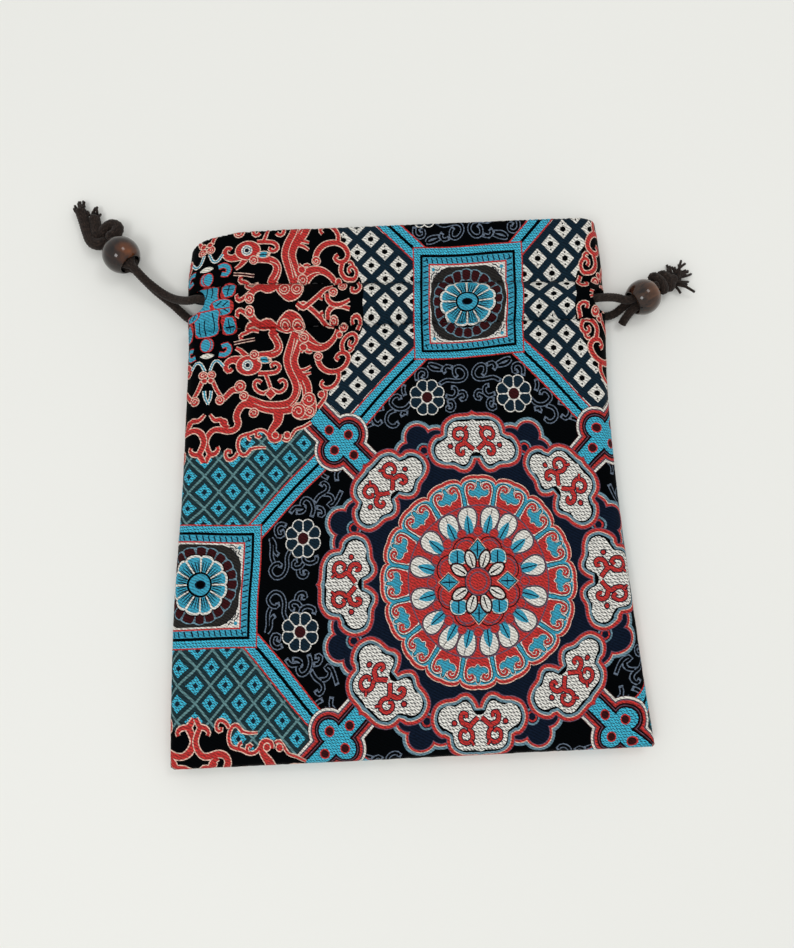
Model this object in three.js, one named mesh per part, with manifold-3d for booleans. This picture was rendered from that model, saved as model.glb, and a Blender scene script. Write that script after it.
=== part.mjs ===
// A flat drawstring bag of figured brocade, lying on its back with its mouth towards +Y.
// Millimetres, +Z up. The origin is on the surface that the bag lies on, under the middle of the bag.
import * as THREE from 'three';
import { mergeVertices } from 'three/addons/utils/BufferGeometryUtils.js';
import Module from 'manifold-3d';

const wasm = await Module();
wasm.setup();

// Cloth and seams
const wall = 1.0;                 // thickness of the brocade with its floats
const seamHeight = 5.2;           // height of the side and bottom seams above the surface
const seamGap = 0.3;              // gap between the two panels along the seams
const bottomY = -84.0;
const topY = 79.0;                // where the cloth turns in at the mouth
const rollWidth = 6.5;            // width of the rounded edge beside a seam
const foldDepth = 1.4;            // from the middle of the panel to the middle of its hem

// Casing: the tunnel between the two lines of stitches
const lowerStitchY = 47.1;
const upperStitchY = 60.1;
const casingRise = 3.0;           // how far the cords lift the cloth between the stitches
const casingShape = 7.0;          // a higher power makes a flatter ridge
const hemEndY = 43.6;

// The drooping corner of the header
const droopFrom = -44;
const droopWidth = 17;
const cornerDroop = 2.6;
const droopLowY = 25;             // below this row the edge is straight

// Rows across the bag: its edges, the height of the front panel, the fall of that height towards
// the edges, and the tilt of the row
const sections = [
  { y: -84.0, left: -70.9, right: 70.9, height: 8.6, fall: 1.0, tilt: 0.010 },
  { y: -66.0, left: -70.9, right: 69.4, height: 9.2, fall: 1.4, tilt: 0.008 },
  { y: -36.0, left: -70.1, right: 67.5, height: 10.2, fall: 1.8, tilt: 0.000 },
  { y: -6.0, left: -68.0, right: 65.9, height: 11.2, fall: 1.8, tilt: -0.010 },
  { y: 25.0, left: -66.6, right: 65.3, height: 11.9, fall: 1.4, tilt: -0.014 },
  { y: 47.1, left: -65.9, right: 66.2, height: 12.3, fall: 0.0, tilt: -0.008 },
  { y: 60.1, left: -66.2, right: 66.3, height: 12.3, fall: 0.0, tilt: -0.028 },
  { y: 69.5, left: -66.0, right: 66.2, height: 12.5, fall: 0.2, tilt: -0.010 },
  { y: 79.0, left: -65.0, right: 65.4, height: 12.2, fall: 0.2, tilt: 0.008 },
];

// Soft folds of the front panel: centre, half length, half width, direction and height
const folds = [
  { x: -42, y: 34, long: 20, wide: 6, turn: 75, rise: 0.8 },
  { x: -22, y: 36, long: 16, wide: 5, turn: 95, rise: -0.7 },
  { x: 2, y: 33, long: 18, wide: 6, turn: 84, rise: 0.7 },
  { x: 28, y: 36, long: 15, wide: 5, turn: 98, rise: -0.6 },
  { x: 47, y: 32, long: 20, wide: 6, turn: 104, rise: 0.8 },
  { x: -44, y: -18, long: 34, wide: 9, turn: 62, rise: -0.6 },
  { x: 12, y: -8, long: 30, wide: 10, turn: 20, rise: 0.6 },
  { x: 40, y: -40, long: 32, wide: 9, turn: 118, rise: -0.6 },
  { x: -18, y: -58, long: 30, wide: 9, turn: 8, rise: 0.6 },
  { x: -36, y: 70, long: 11, wide: 5, turn: 80, rise: 0.5 },
  { x: 8, y: 70, long: 10, wide: 5, turn: 95, rise: 0.4 },
  { x: 44, y: 70, long: 11, wide: 5, turn: 100, rise: 0.5 },
];

const foldFade = { pocket: 9, header: 5 };   // the folds die out towards the stitches

// Puckers of the casing: centre, half width, and how much further the cloth rises
const puckers = [
  { x: -44, wide: 6, rise: 0.16 },
  { x: -24, wide: 5, rise: 0.10 },
  { x: -8, wide: 5, rise: 0.16 },
  { x: 14, wide: 6, rise: 0.12 },
  { x: 31, wide: 4, rise: 0.18 },
  { x: 47, wide: 5, rise: 0.14 },
];

// Slits in the side seams where the cords come out, and the end of the hem inside them
const slits = {
  left: { side: -1, innerX: -59.2, lowY: 51.3, highY: 59.7, hemX: -51.5, hemY: 55.3 },
  right: { side: 1, innerX: 61.0, lowY: 48.8, highY: 56.2, hemX: 53.5, hemY: 54.4 },
};
const slitReach = 90;
const slitHeight = 20;
const hemCut = { halfWidth: 3.9, low: 2.9, high: 11.2 };

// Drawstrings
const cordDiameter = 2.8;
const cordSides = 8;
const frontCordZ = 12.6;
const backCordZ = 2.7;
const loopTurn = (frontCordZ - backCordZ) / 2;

// Beads: centre, radius, bore and the way the cords run through
const beads = {
  left: { centre: [-88.5, 75.8, 6.05], radius: 6.0, bore: 3.4, heading: 131 },
  right: { centre: [79.7, 55.3, 5.75], radius: 5.7, bore: 3.55, heading: 28 },
};
const beadSides = 16;
const beadArcs = 7;

// Free strands: points along the middle of the cord, from inside the casing to the knot
const strands = {
  left_cord_front: [
    [-49.0, 56.4, 12.6], [-52.5, 56.4, 12.6], [-55.9, 56.4, 12.6], [-59.2, 56.7, 12.4],
    [-62.4, 57.6, 11.5], [-65.6, 57.9, 9.7], [-68.6, 58.9, 7.6], [-71.6, 60.3, 5.8],
    [-74.6, 62.1, 5.0], [-77.6, 64.3, 5.3], [-80.6, 66.9, 6.1], [-83.0, 69.5, 7.0],
    [-85.3, 72.1, 7.5], [-88.5, 75.8, 7.6], [-92.1, 79.9, 7.5],
  ],
  left_cord_back: [
    [-49.0, 56.4, 2.7], [-52.5, 56.4, 2.7], [-55.8, 56.4, 2.7], [-58.7, 56.0, 2.7],
    [-61.2, 55.0, 2.6], [-64.2, 54.0, 2.3], [-67.3, 54.7, 1.9], [-69.8, 56.9, 1.7],
    [-72.3, 59.4, 1.6], [-75.2, 62.0, 1.7], [-78.3, 64.7, 2.2], [-81.6, 68.0, 3.3],
    [-85.3, 72.1, 4.4], [-88.5, 75.8, 4.5], [-91.8, 79.6, 4.5],
  ],
  right_cord_front: [
    [51.0, 52.2, 12.6], [54.0, 52.3, 12.6], [57.0, 52.6, 12.4], [60.0, 53.0, 11.9],
    [62.8, 53.4, 11.3], [65.2, 53.8, 10.6], [67.4, 54.1, 9.8], [69.4, 54.3, 8.9],
    [71.3, 54.2, 8.2], [73.2, 53.9, 7.6], [75.3, 54.0, 7.3], [77.3, 55.0, 7.3],
    [79.3, 56.1, 7.3], [82.0, 57.5, 7.3], [84.2, 58.7, 7.2],
  ],
  right_cord_back: [
    [51.0, 52.2, 2.7], [54.0, 52.3, 2.7], [57.0, 52.4, 2.7], [60.0, 52.4, 2.8],
    [62.8, 52.0, 2.8], [65.3, 51.1, 2.4], [67.6, 50.6, 1.9], [69.7, 50.9, 1.7],
    [71.6, 51.7, 2.0], [73.5, 52.9, 3.2], [75.3, 54.0, 4.2], [77.3, 55.0, 4.3],
    [79.3, 56.1, 4.3], [82.0, 57.5, 4.3], [83.8, 58.5, 4.3],
  ],
  right_cord_end: [
    [80.1, 53.5, 5.8], [78.3, 52.6, 5.8], [76.6, 51.7, 5.6], [75.2, 50.5, 4.8],
    [74.1, 49.2, 3.4], [73.2, 47.8, 2.0],
  ],
};

// The hidden part of each drawstring: where it starts, and where it turns back at the other slit
const loops = {
  left_cord_loop: { startX: -48.7, startY: 56.4, turnX: 54.0, turnY: 55.6, side: 1 },
  right_cord_loop: { startX: 50.7, startY: 52.2, turnX: -51.9, turnY: 53.2, side: -1 },
};
const loopShares = [0, 0.5, 0.95];
const loopSteps = 6;

// Knots: the turns of cord, and the yarns that fray from their cut ends
const knots = {
  left: {
    diameter: 3.9,
    turns: [
      [[-93.6, 81.7, 5.4], [-90.8, 83.7, 5.0], [-90.4, 86.2, 4.3], [-92.5, 87.3, 3.8],
        [-94.9, 85.9, 3.4], [-96.6, 82.8, 2.8]],
      [[-93.4, 81.6, 4.4], [-96.4, 79.9, 4.2], [-98.7, 81.3, 3.5], [-99.6, 84.7, 2.8],
        [-100.4, 89.3, 2.3], [-101.2, 93.7, 2.2]],
      [[-96.8, 81.9, 3.6], [-96.9, 86.5, 2.7], [-97.4, 91.1, 2.2]],
    ],
    frays: [
      { from: [-101.1, 93.1, 2.2], headings: [78, 96, 114], length: 3.4, root: 1.2, tip: 0.5, dip: 10 },
      { from: [-97.3, 90.5, 2.2], headings: [66, 88, 108], length: 2.8, root: 1.2, tip: 0.5, dip: 10 },
    ],
  },
  right: {
    diameter: 3.8,
    turns: [
      [[82.5, 63.0, 4.8], [85.7, 60.5, 5.2], [87.2, 56.5, 4.8]],
      [[85.8, 64.1, 3.6], [88.8, 61.3, 4.4], [89.4, 57.7, 3.6]],
      [[86.9, 59.7, 4.6], [89.5, 61.1, 4.2], [91.9, 62.3, 3.4]],
    ],
    frays: [
      {
        from: [90.9, 61.9, 3.2],
        headings: [-28, -10, 6, 22, 38, 55, 72, 90, 108],
        length: 6.2,
        root: 0.95,
        tip: 0.5,
        dip: 16,
      },
    ],
  },
};

const lockSides = 6;
const shortLock = 0.82;           // every second lock is shorter by this much

// Steps of the two panels: across the flat and the rounded edges, and along the parts of a panel
const frontGrid = { roll: 3, flat: 21, pocket: 21, casing: 6, header: 4, fold: 4, hem: 3 };
const backGrid = { roll: 3, flat: 10, pocket: 10, casing: 6, header: 3, fold: 4, hem: 2 };
const mergeDistance = 1e-4;

const brocade = { color: 0x1d2230, roughness: 0.55, metalness: 0.0 };
const darkCord = { color: 0x241812, roughness: 0.85, metalness: 0.0 };
const lacquer = { color: 0x3a1c0e, roughness: 0.18, metalness: 0.0 };

const radians = THREE.MathUtils.degToRad;

// A smooth curve through one column of the sections, read at a place along the bag
function along(column, y) {
  const last = sections.length - 1;
  let k = 0;
  while (k < last - 1 && y > sections[k + 1].y) {
    k += 1;
  }
  const slopeAt = (n) => {
    const a = sections[Math.max(n - 1, 0)];
    const b = sections[Math.min(n + 1, last)];
    return (b[column] - a[column]) / (b.y - a.y);
  };
  const step = sections[k + 1].y - sections[k].y;
  const t = THREE.MathUtils.clamp((y - sections[k].y) / step, 0, 1);
  const t2 = t * t;
  const t3 = t2 * t;
  return (2 * t3 - 3 * t2 + 1) * sections[k][column]
    + (t3 - 2 * t2 + t) * step * slopeAt(k)
    + (3 * t2 - 2 * t3) * sections[k + 1][column]
    + (t3 - t2) * step * slopeAt(k + 1);
}

function foldRise(x, y) {
  let rise = 0;
  for (const fold of folds) {
    const c = Math.cos(radians(fold.turn));
    const s = Math.sin(radians(fold.turn));
    const u = ((x - fold.x) * c + (y - fold.y) * s) / fold.long;
    const v = ((y - fold.y) * c - (x - fold.x) * s) / fold.wide;
    rise += fold.rise * Math.exp(-u * u - v * v);
  }
  const pocketFade = THREE.MathUtils.smoothstep(lowerStitchY - y, 0, foldFade.pocket);
  const headerFade = THREE.MathUtils.smoothstep(y - upperStitchY, 0, foldFade.header);
  return rise * (pocketFade + headerFade);
}

function puckerRise(x) {
  let rise = 1;
  for (const pucker of puckers) {
    rise += pucker.rise * Math.exp(-(((x - pucker.x) / pucker.wide) ** 2));
  }
  return rise;
}

function casingLift(y) {
  if (y <= lowerStitchY || y >= upperStitchY) {
    return 0;
  }
  const across = (2 * y - lowerStitchY - upperStitchY) / (upperStitchY - lowerStitchY);
  return casingRise * (1 - Math.abs(across) ** casingShape);
}

function droop(x, y) {
  const past = Math.max(0, (droopFrom - x) / droopWidth);
  return cornerDroop * past * past * THREE.MathUtils.smoothstep(y, droopLowY, topY);
}

// Columns across a panel: a rounded edge at each side, evenly spaced between
function makeColumns(counts) {
  const columns = [];
  for (let k = 0; k <= counts.roll; k += 1) {
    const turn = (k / counts.roll) * (Math.PI / 2);
    columns.push({ from: 'left', inset: rollWidth * (1 - Math.cos(turn)), lift: Math.sin(turn) });
  }
  for (let k = 1; k < counts.flat; k += 1) {
    columns.push({ from: 'middle', share: k / counts.flat, lift: 1 });
  }
  for (let k = counts.roll; k >= 0; k -= 1) {
    const turn = (k / counts.roll) * (Math.PI / 2);
    columns.push({ from: 'right', inset: rollWidth * (1 - Math.cos(turn)), lift: Math.sin(turn) });
  }
  return columns;
}

// Rows of a panel: up from the bottom seam, over the fold at the mouth, and down the hem
function makeRows(counts) {
  const rows = [];
  for (let k = 0; k <= counts.roll; k += 1) {
    const turn = (k / counts.roll) * (Math.PI / 2);
    rows.push({ y: bottomY + rollWidth * (1 - Math.cos(turn)), lift: Math.sin(turn), depth: 0 });
  }
  const run = (fromY, toY, steps, depth) => {
    for (let k = 1; k <= steps; k += 1) {
      rows.push({ y: fromY + ((toY - fromY) * k) / steps, lift: 1, depth });
    }
  };
  run(bottomY + rollWidth, lowerStitchY, counts.pocket, 0);
  run(lowerStitchY, upperStitchY, counts.casing, 0);
  run(upperStitchY, topY, counts.header, 0);
  for (let k = 1; k < counts.fold; k += 1) {
    const turn = (k / counts.fold) * Math.PI;
    const depth = (foldDepth / 2) * (1 - Math.cos(turn));
    rows.push({ y: topY + (foldDepth / 2) * Math.sin(turn), lift: 1, depth });
  }
  rows.push({ y: topY, lift: 1, depth: foldDepth });
  run(topY, upperStitchY, counts.hem, foldDepth);
  run(upperStitchY, lowerStitchY, counts.casing, foldDepth);
  run(lowerStitchY, hemEndY, 1, foldDepth);
  return rows;
}

// The middle of the cloth, for one row and column of the front or the back panel
function clothPoint(row, column, isFront) {
  const hemDrop = row.depth === foldDepth ? casingLift(row.y) : 0;
  const left = along('left', row.y) + row.depth + hemDrop;
  const right = along('right', row.y) - row.depth - hemDrop;
  let x = left + rollWidth + (right - left - 2 * rollWidth) * (column.share ?? 0);
  if (column.from === 'left') {
    x = left + column.inset;
  }
  if (column.from === 'right') {
    x = right - column.inset;
  }
  const y = row.y + along('tilt', row.y) * x - droop(x, row.y);
  const lift = row.lift * column.lift;
  if (!isFront) {
    const seam = seamHeight - seamGap / 2;
    return new THREE.Vector3(x, y, seam - (seam - wall / 2 - row.depth - hemDrop) * lift);
  }
  const seam = seamHeight + seamGap / 2;
  const across = (2 * x - left - right) / (right - left);
  const top = along('height', row.y) - along('fall', row.y) * across * across
    + (casingLift(row.y) - hemDrop) * puckerRise(x) + foldRise(x, row.y);
  return new THREE.Vector3(x, y, seam + (top - wall / 2 - row.depth - seam) * lift);
}

// A closed sheet of even thickness about a grid of points
function thickSheet(grid) {
  const rows = grid.length;
  const columns = grid[0].length;
  const at = (r, c) => grid[THREE.MathUtils.clamp(r, 0, rows - 1)][THREE.MathUtils.clamp(c, 0, columns - 1)];
  const positions = [];
  for (const face of [1, -1]) {
    for (let r = 0; r < rows; r += 1) {
      for (let c = 0; c < columns; c += 1) {
        const acrossGrid = at(r, c + 1).clone().sub(at(r, c - 1));
        const upGrid = at(r + 1, c).clone().sub(at(r - 1, c));
        const normal = acrossGrid.cross(upGrid);
        if (r === 0 || c === 0 || c === columns - 1) {
          normal.setZ(0);                        // the cloth stands upright at its seams
        }
        if (r === 0 && (c === 0 || c === columns - 1)) {
          normal.set(Math.sign(at(r, c).x), -1, 0);
        }
        normal.normalize().multiplyScalar((face * wall) / 2);
        positions.push(...at(r, c).clone().add(normal).toArray());
      }
    }
  }
  const index = [];
  const offset = rows * columns;
  const id = (r, c, face) => face * offset + r * columns + c;
  const quad = (a, b, c, d) => index.push(a, b, c, a, c, d);
  for (let r = 0; r < rows - 1; r += 1) {
    for (let c = 0; c < columns - 1; c += 1) {
      quad(id(r, c, 0), id(r, c + 1, 0), id(r + 1, c + 1, 0), id(r + 1, c, 0));
      quad(id(r, c, 1), id(r + 1, c, 1), id(r + 1, c + 1, 1), id(r, c + 1, 1));
    }
    quad(id(r, 0, 1), id(r, 0, 0), id(r + 1, 0, 0), id(r + 1, 0, 1));
    quad(id(r, columns - 1, 0), id(r, columns - 1, 1), id(r + 1, columns - 1, 1), id(r + 1, columns - 1, 0));
  }
  for (let c = 0; c < columns - 1; c += 1) {
    quad(id(0, c, 1), id(0, c + 1, 1), id(0, c + 1, 0), id(0, c, 0));
    quad(id(rows - 1, c, 0), id(rows - 1, c + 1, 0), id(rows - 1, c + 1, 1), id(rows - 1, c, 1));
  }
  const geometry = new THREE.BufferGeometry();
  geometry.setAttribute('position', new THREE.Float32BufferAttribute(positions, 3));
  geometry.setIndex(index);
  return geometry;
}

function toSolid(geometry) {
  const bare = geometry.clone();
  bare.deleteAttribute('normal');
  bare.deleteAttribute('uv');
  const merged = mergeVertices(bare, mergeDistance);
  return new wasm.Manifold(new wasm.Mesh({
    numProp: 3,
    vertProperties: new Float32Array(merged.attributes.position.array),
    triVerts: new Uint32Array(merged.index.array),
  }));
}

function toGeometry(solid) {
  const mesh = solid.getMesh();
  const geometry = new THREE.BufferGeometry();
  geometry.setAttribute('position', new THREE.Float32BufferAttribute(mesh.vertProperties, 3));
  geometry.setIndex(new THREE.Uint32BufferAttribute(mesh.triVerts, 1));
  geometry.computeVertexNormals();
  return geometry;
}

// A slit: a slot with a round inner end, cut through both panels
function slitCutter(slit) {
  const radius = (slit.highY - slit.lowY) / 2;
  const startTurn = (slit.side * Math.PI) / 2;
  const outline = new THREE.Shape();
  outline.moveTo(slit.side * slitReach, slit.side < 0 ? slit.lowY : slit.highY);
  outline.absarc(slit.innerX + slit.side * radius, slit.lowY + radius, radius,
    startTurn, startTurn + Math.PI, false);
  outline.lineTo(slit.side * slitReach, slit.side < 0 ? slit.highY : slit.lowY);
  const slot = new THREE.ExtrudeGeometry(outline, {
    depth: slitHeight, bevelEnabled: false, curveSegments: 8,
  });
  slot.translate(0, 0, -wall);
  return slot;
}

// The end of the hem inside a slit, where the other drawstring turns back
function hemCutter(slit) {
  const width = Math.abs(slit.side * slitReach - slit.hemX);
  const box = new THREE.BoxGeometry(width, hemCut.halfWidth * 2, hemCut.high - hemCut.low);
  box.translate(slit.hemX + (slit.side * width) / 2, slit.hemY, (hemCut.high + hemCut.low) / 2);
  return box;
}

function makePanel(isFront, counts) {
  const columns = makeColumns(counts);
  const grid = makeRows(counts).map((row) => columns.map((column) => clothPoint(row, column, isFront)));
  let cloth = toSolid(thickSheet(isFront ? grid : grid.map((line) => line.slice().reverse())));
  for (const slit of Object.values(slits)) {
    cloth = cloth.subtract(toSolid(slitCutter(slit))).subtract(toSolid(hemCutter(slit)));
  }
  return toGeometry(cloth);
}

// A smooth route whose steps fall on its own points
class Route extends THREE.CatmullRomCurve3 {
  getPointAt(t, target) {
    return this.getPoint(t, target);
  }

  getTangentAt(t, target) {
    return this.getTangent(t, target);
  }

  getSpacedPoints(divisions) {
    return this.getPoints(divisions);
  }
}

function cordTube(points, diameter = cordDiameter) {
  const outline = new THREE.Shape();
  for (let k = 0; k < cordSides; k += 1) {
    const turn = ((k + 0.5) / cordSides) * Math.PI * 2;
    const place = [(Math.cos(turn) * diameter) / 2, (Math.sin(turn) * diameter) / 2];
    if (k === 0) {
      outline.moveTo(...place);
    } else {
      outline.lineTo(...place);
    }
  }
  const route = new Route(points.map((point) => new THREE.Vector3(...point)));
  return new THREE.ExtrudeGeometry(outline, {
    steps: points.length - 1, extrudePath: route, bevelEnabled: false,
  });
}

// The part of a drawstring inside the casing: along the front, round a slit and back along the back
function loopRoute(loop) {
  const points = [];
  const placeAt = (share) => [
    loop.startX + (loop.turnX - loop.startX) * share,
    loop.startY + (loop.turnY - loop.startY) * share,
  ];
  for (const share of loopShares) {
    points.push([...placeAt(share), frontCordZ]);
  }
  for (let k = 0; k <= loopSteps; k += 1) {
    const turn = Math.PI / 2 - (k / loopSteps) * Math.PI;
    points.push([
      loop.turnX + loop.side * loopTurn * Math.cos(turn),
      loop.turnY,
      backCordZ + loopTurn + loopTurn * Math.sin(turn),
    ]);
  }
  for (const share of loopShares.slice().reverse()) {
    points.push([...placeAt(share), backCordZ]);
  }
  return points;
}

// A drilled round bead, turned about its bore
function makeBead(bead) {
  const endTurn = Math.acos(bead.bore / bead.radius);
  const profile = [];
  for (let k = 0; k <= beadArcs; k += 1) {
    const turn = -endTurn + (2 * endTurn * k) / beadArcs;
    profile.push(new THREE.Vector2(bead.radius * Math.cos(turn), bead.radius * Math.sin(turn)));
  }
  profile.push(profile[0].clone());
  return new THREE.LatheGeometry(profile, beadSides);
}

// Tapered locks of loose yarn that spread from the end of a cord
function frayLocks(fray) {
  return fray.headings.map((heading, k) => {
    const length = fray.length * (k % 2 === 0 ? 1 : shortLock);
    const lock = new THREE.CylinderGeometry(fray.tip, fray.root, length, lockSides);
    lock.translate(0, length / 2, 0);
    lock.rotateX(-radians(fray.dip));
    lock.rotateZ(radians(heading - 90));
    lock.translate(...fray.from);
    return lock;
  });
}

function makeKnot(knot) {
  let solid = null;
  const pieces = knot.turns.map((turn) => cordTube(turn, knot.diameter));
  for (const fray of knot.frays) {
    pieces.push(...frayLocks(fray));
  }
  for (const piece of pieces) {
    solid = solid ? solid.add(toSolid(piece)) : toSolid(piece);
  }
  return toGeometry(solid);
}

const bag = new THREE.Group();

function addPiece(name, geometry, finish) {
  const mesh = new THREE.Mesh(geometry, new THREE.MeshStandardMaterial(finish));
  mesh.name = name;
  bag.add(mesh);
  return mesh;
}

addPiece('front_panel', makePanel(true, frontGrid), brocade);
addPiece('back_panel', makePanel(false, backGrid), brocade);
for (const [name, points] of Object.entries(strands)) {
  addPiece(name, cordTube(points), darkCord);
}
for (const [name, loop] of Object.entries(loops)) {
  addPiece(name, cordTube(loopRoute(loop)), darkCord);
}
for (const [side, bead] of Object.entries(beads)) {
  const mesh = addPiece(`${side}_bead`, makeBead(bead), lacquer);
  mesh.position.set(...bead.centre);
  mesh.rotation.z = radians(bead.heading - 90);
}
for (const [side, knot] of Object.entries(knots)) {
  addPiece(`${side}_knot`, makeKnot(knot), darkCord);
}

export default bag;
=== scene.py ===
import math
import random
import bmesh
import bpy
import numpy as np
from mathutils import Matrix, Vector
from mathutils.bvhtree import BVHTree
from mathutils.geometry import delaunay_2d_cdt


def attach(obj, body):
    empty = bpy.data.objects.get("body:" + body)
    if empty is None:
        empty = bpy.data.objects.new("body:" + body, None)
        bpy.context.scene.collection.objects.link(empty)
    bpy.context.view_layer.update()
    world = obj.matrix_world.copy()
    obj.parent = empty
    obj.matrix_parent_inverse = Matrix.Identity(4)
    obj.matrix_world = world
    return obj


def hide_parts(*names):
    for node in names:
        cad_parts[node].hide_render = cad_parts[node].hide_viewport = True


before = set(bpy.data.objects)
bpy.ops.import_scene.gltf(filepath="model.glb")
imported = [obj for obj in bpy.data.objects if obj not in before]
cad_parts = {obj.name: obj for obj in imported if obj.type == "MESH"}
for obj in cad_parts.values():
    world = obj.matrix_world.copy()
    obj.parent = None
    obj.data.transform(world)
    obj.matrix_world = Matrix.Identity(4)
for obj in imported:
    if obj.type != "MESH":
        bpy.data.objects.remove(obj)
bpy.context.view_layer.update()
mm = 0.001   # the cloth and its figures are drafted in millimetres
curveSteps = 24   # steps between two given points of a smooth curve


# small helpers for node trees

def feed(tree, socket, value):
    if isinstance(value, bpy.types.NodeSocket):
        tree.links.new(value, socket)
    else:
        socket.default_value = value


def feedAll(tree, node, values):
    for name, value in values.items():
        feed(tree, node.inputs[name.replace("_", " ")], value)


def addNode(tree, kind, settings=None, **values):
    node = tree.nodes.new(kind)
    for name, value in (settings or {}).items():
        setattr(node, name, value)
    feedAll(tree, node, values)
    return node


def addMath(tree, operation, first, second=0.0):
    node = addNode(tree, "ShaderNodeMath", {"operation": operation})
    feed(tree, node.inputs[0], first)
    feed(tree, node.inputs[1], second)
    return node.outputs[0]


def addMix(tree, share, first, second):
    node = addNode(tree, "ShaderNodeMix", {"data_type": "RGBA"})
    for at, value in ((0, share), (6, first), (7, second)):   # the sockets of a mix of colours
        feed(tree, node.inputs[at], value)
    return node.outputs[2]


def addRamp(tree, value, low, high):
    node = addNode(tree, "ShaderNodeMapRange", {"clamp": True}, Value=value, From_Min=low, From_Max=high)
    return node.outputs[0]


def newMaterial(name):
    material = bpy.data.materials.new(name)
    material.use_nodes = True
    return material, material.node_tree, material.node_tree.nodes["Principled BSDF"]


def newGroup(name, inputs, outputs):
    group = bpy.data.node_groups.new(name, "ShaderNodeTree")
    for direction, sockets in (("INPUT", inputs), ("OUTPUT", outputs)):
        for label, kind in sockets:
            group.interface.new_socket(label, in_out=direction, socket_type=kind)
    return group, group.nodes.new("NodeGroupInput").outputs, group.nodes.new("NodeGroupOutput").inputs


# camera, floor and light

view = dict(focalPx=850, imageHeight=948, sensor=36, nearest=0.01, tilt=9.6, turn=2.1, distance=265.0,
            aim=(-1.66, 0.55, 5.0))


def makeCamera():
    tilt = math.radians(view["tilt"])
    turn = math.radians(view["turn"])
    right = Vector((math.cos(turn), -math.sin(turn), 0))
    away = Vector((math.sin(turn), math.cos(turn), 0))
    forward = away * math.sin(tilt) - Vector((0, 0, math.cos(tilt)))
    upward = right.cross(forward)
    place = (Vector(view["aim"]) - forward * view["distance"]) * mm
    data = bpy.data.cameras.new("bagCamera")
    data.sensor_width = view["sensor"]
    data.lens = view["sensor"] * view["focalPx"] / view["imageHeight"]
    data.clip_start = view["nearest"]
    camera = bpy.data.objects.new("bagCamera", data)
    camera.matrix_world = Matrix((
        (right.x, upward.x, -forward.x, place.x),
        (right.y, upward.y, -forward.y, place.y),
        (right.z, upward.z, -forward.z, place.z),
        (0, 0, 0, 1)))
    bpy.context.collection.objects.link(camera)
    bpy.context.scene.camera = camera


light = dict(keyPower=1.7, keySize=0.28, keyPlace=(-0.34, -0.36, 0.85),
             fillPower=0.9, fillSize=0.26, fillPlace=(0.36, 0.34, 0.85),
             sky=0.75, skyColour=(1, 0.99, 0.97, 1))


def makeLight():
    for kind in ("key", "fill"):
        lamp = bpy.data.lights.new(kind + "Lamp", "AREA")
        lamp.energy = light[kind + "Power"]
        lamp.size = light[kind + "Size"]
        lampObject = bpy.data.objects.new(kind + "Lamp", lamp)
        lampObject.location = light[kind + "Place"]
        lampObject.rotation_euler = (-Vector(light[kind + "Place"])).to_track_quat("-Z", "Y").to_euler()
        bpy.context.collection.objects.link(lampObject)
    world = bpy.data.worlds.new("paleRoom")
    world.use_nodes = True
    sky = dict(Color=light["skyColour"], Strength=light["sky"])
    feedAll(world.node_tree, world.node_tree.nodes["Background"], sky)
    bpy.context.scene.world = world
    bpy.context.scene.view_settings.view_transform = "Standard"


floorLook = dict(half=1.5, colour=(0.855, 0.865, 0.835, 1), roughness=0.7)


def makeFloor():
    bm = bmesh.new()
    bmesh.ops.create_grid(bm, x_segments=2, y_segments=2, size=floorLook["half"])
    mesh = bpy.data.meshes.new("paleFloor")
    bm.to_mesh(mesh)
    bm.free()
    floor = bpy.data.objects.new("paleFloor", mesh)
    bpy.context.collection.objects.link(floor)
    paint, tree, shader = newMaterial("palePaint")
    feedAll(tree, shader, dict(Base_Color=floorLook["colour"], Roughness=floorLook["roughness"]))
    mesh.materials.append(paint)


makeCamera()
makeLight()
makeFloor()
print("camera, light and floor ready")


# cords: routes repeated from the source, in metres

cordLook = dict(diameter=0.0028, flat=0.96, sides=20, step=0.00030, loopStep=0.0008, turnSteps=6,
                uvPerMetre=100, braidPitch=0.0040, braidDepth=0.12, braidMiddle=0.9, strands=4)

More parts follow.
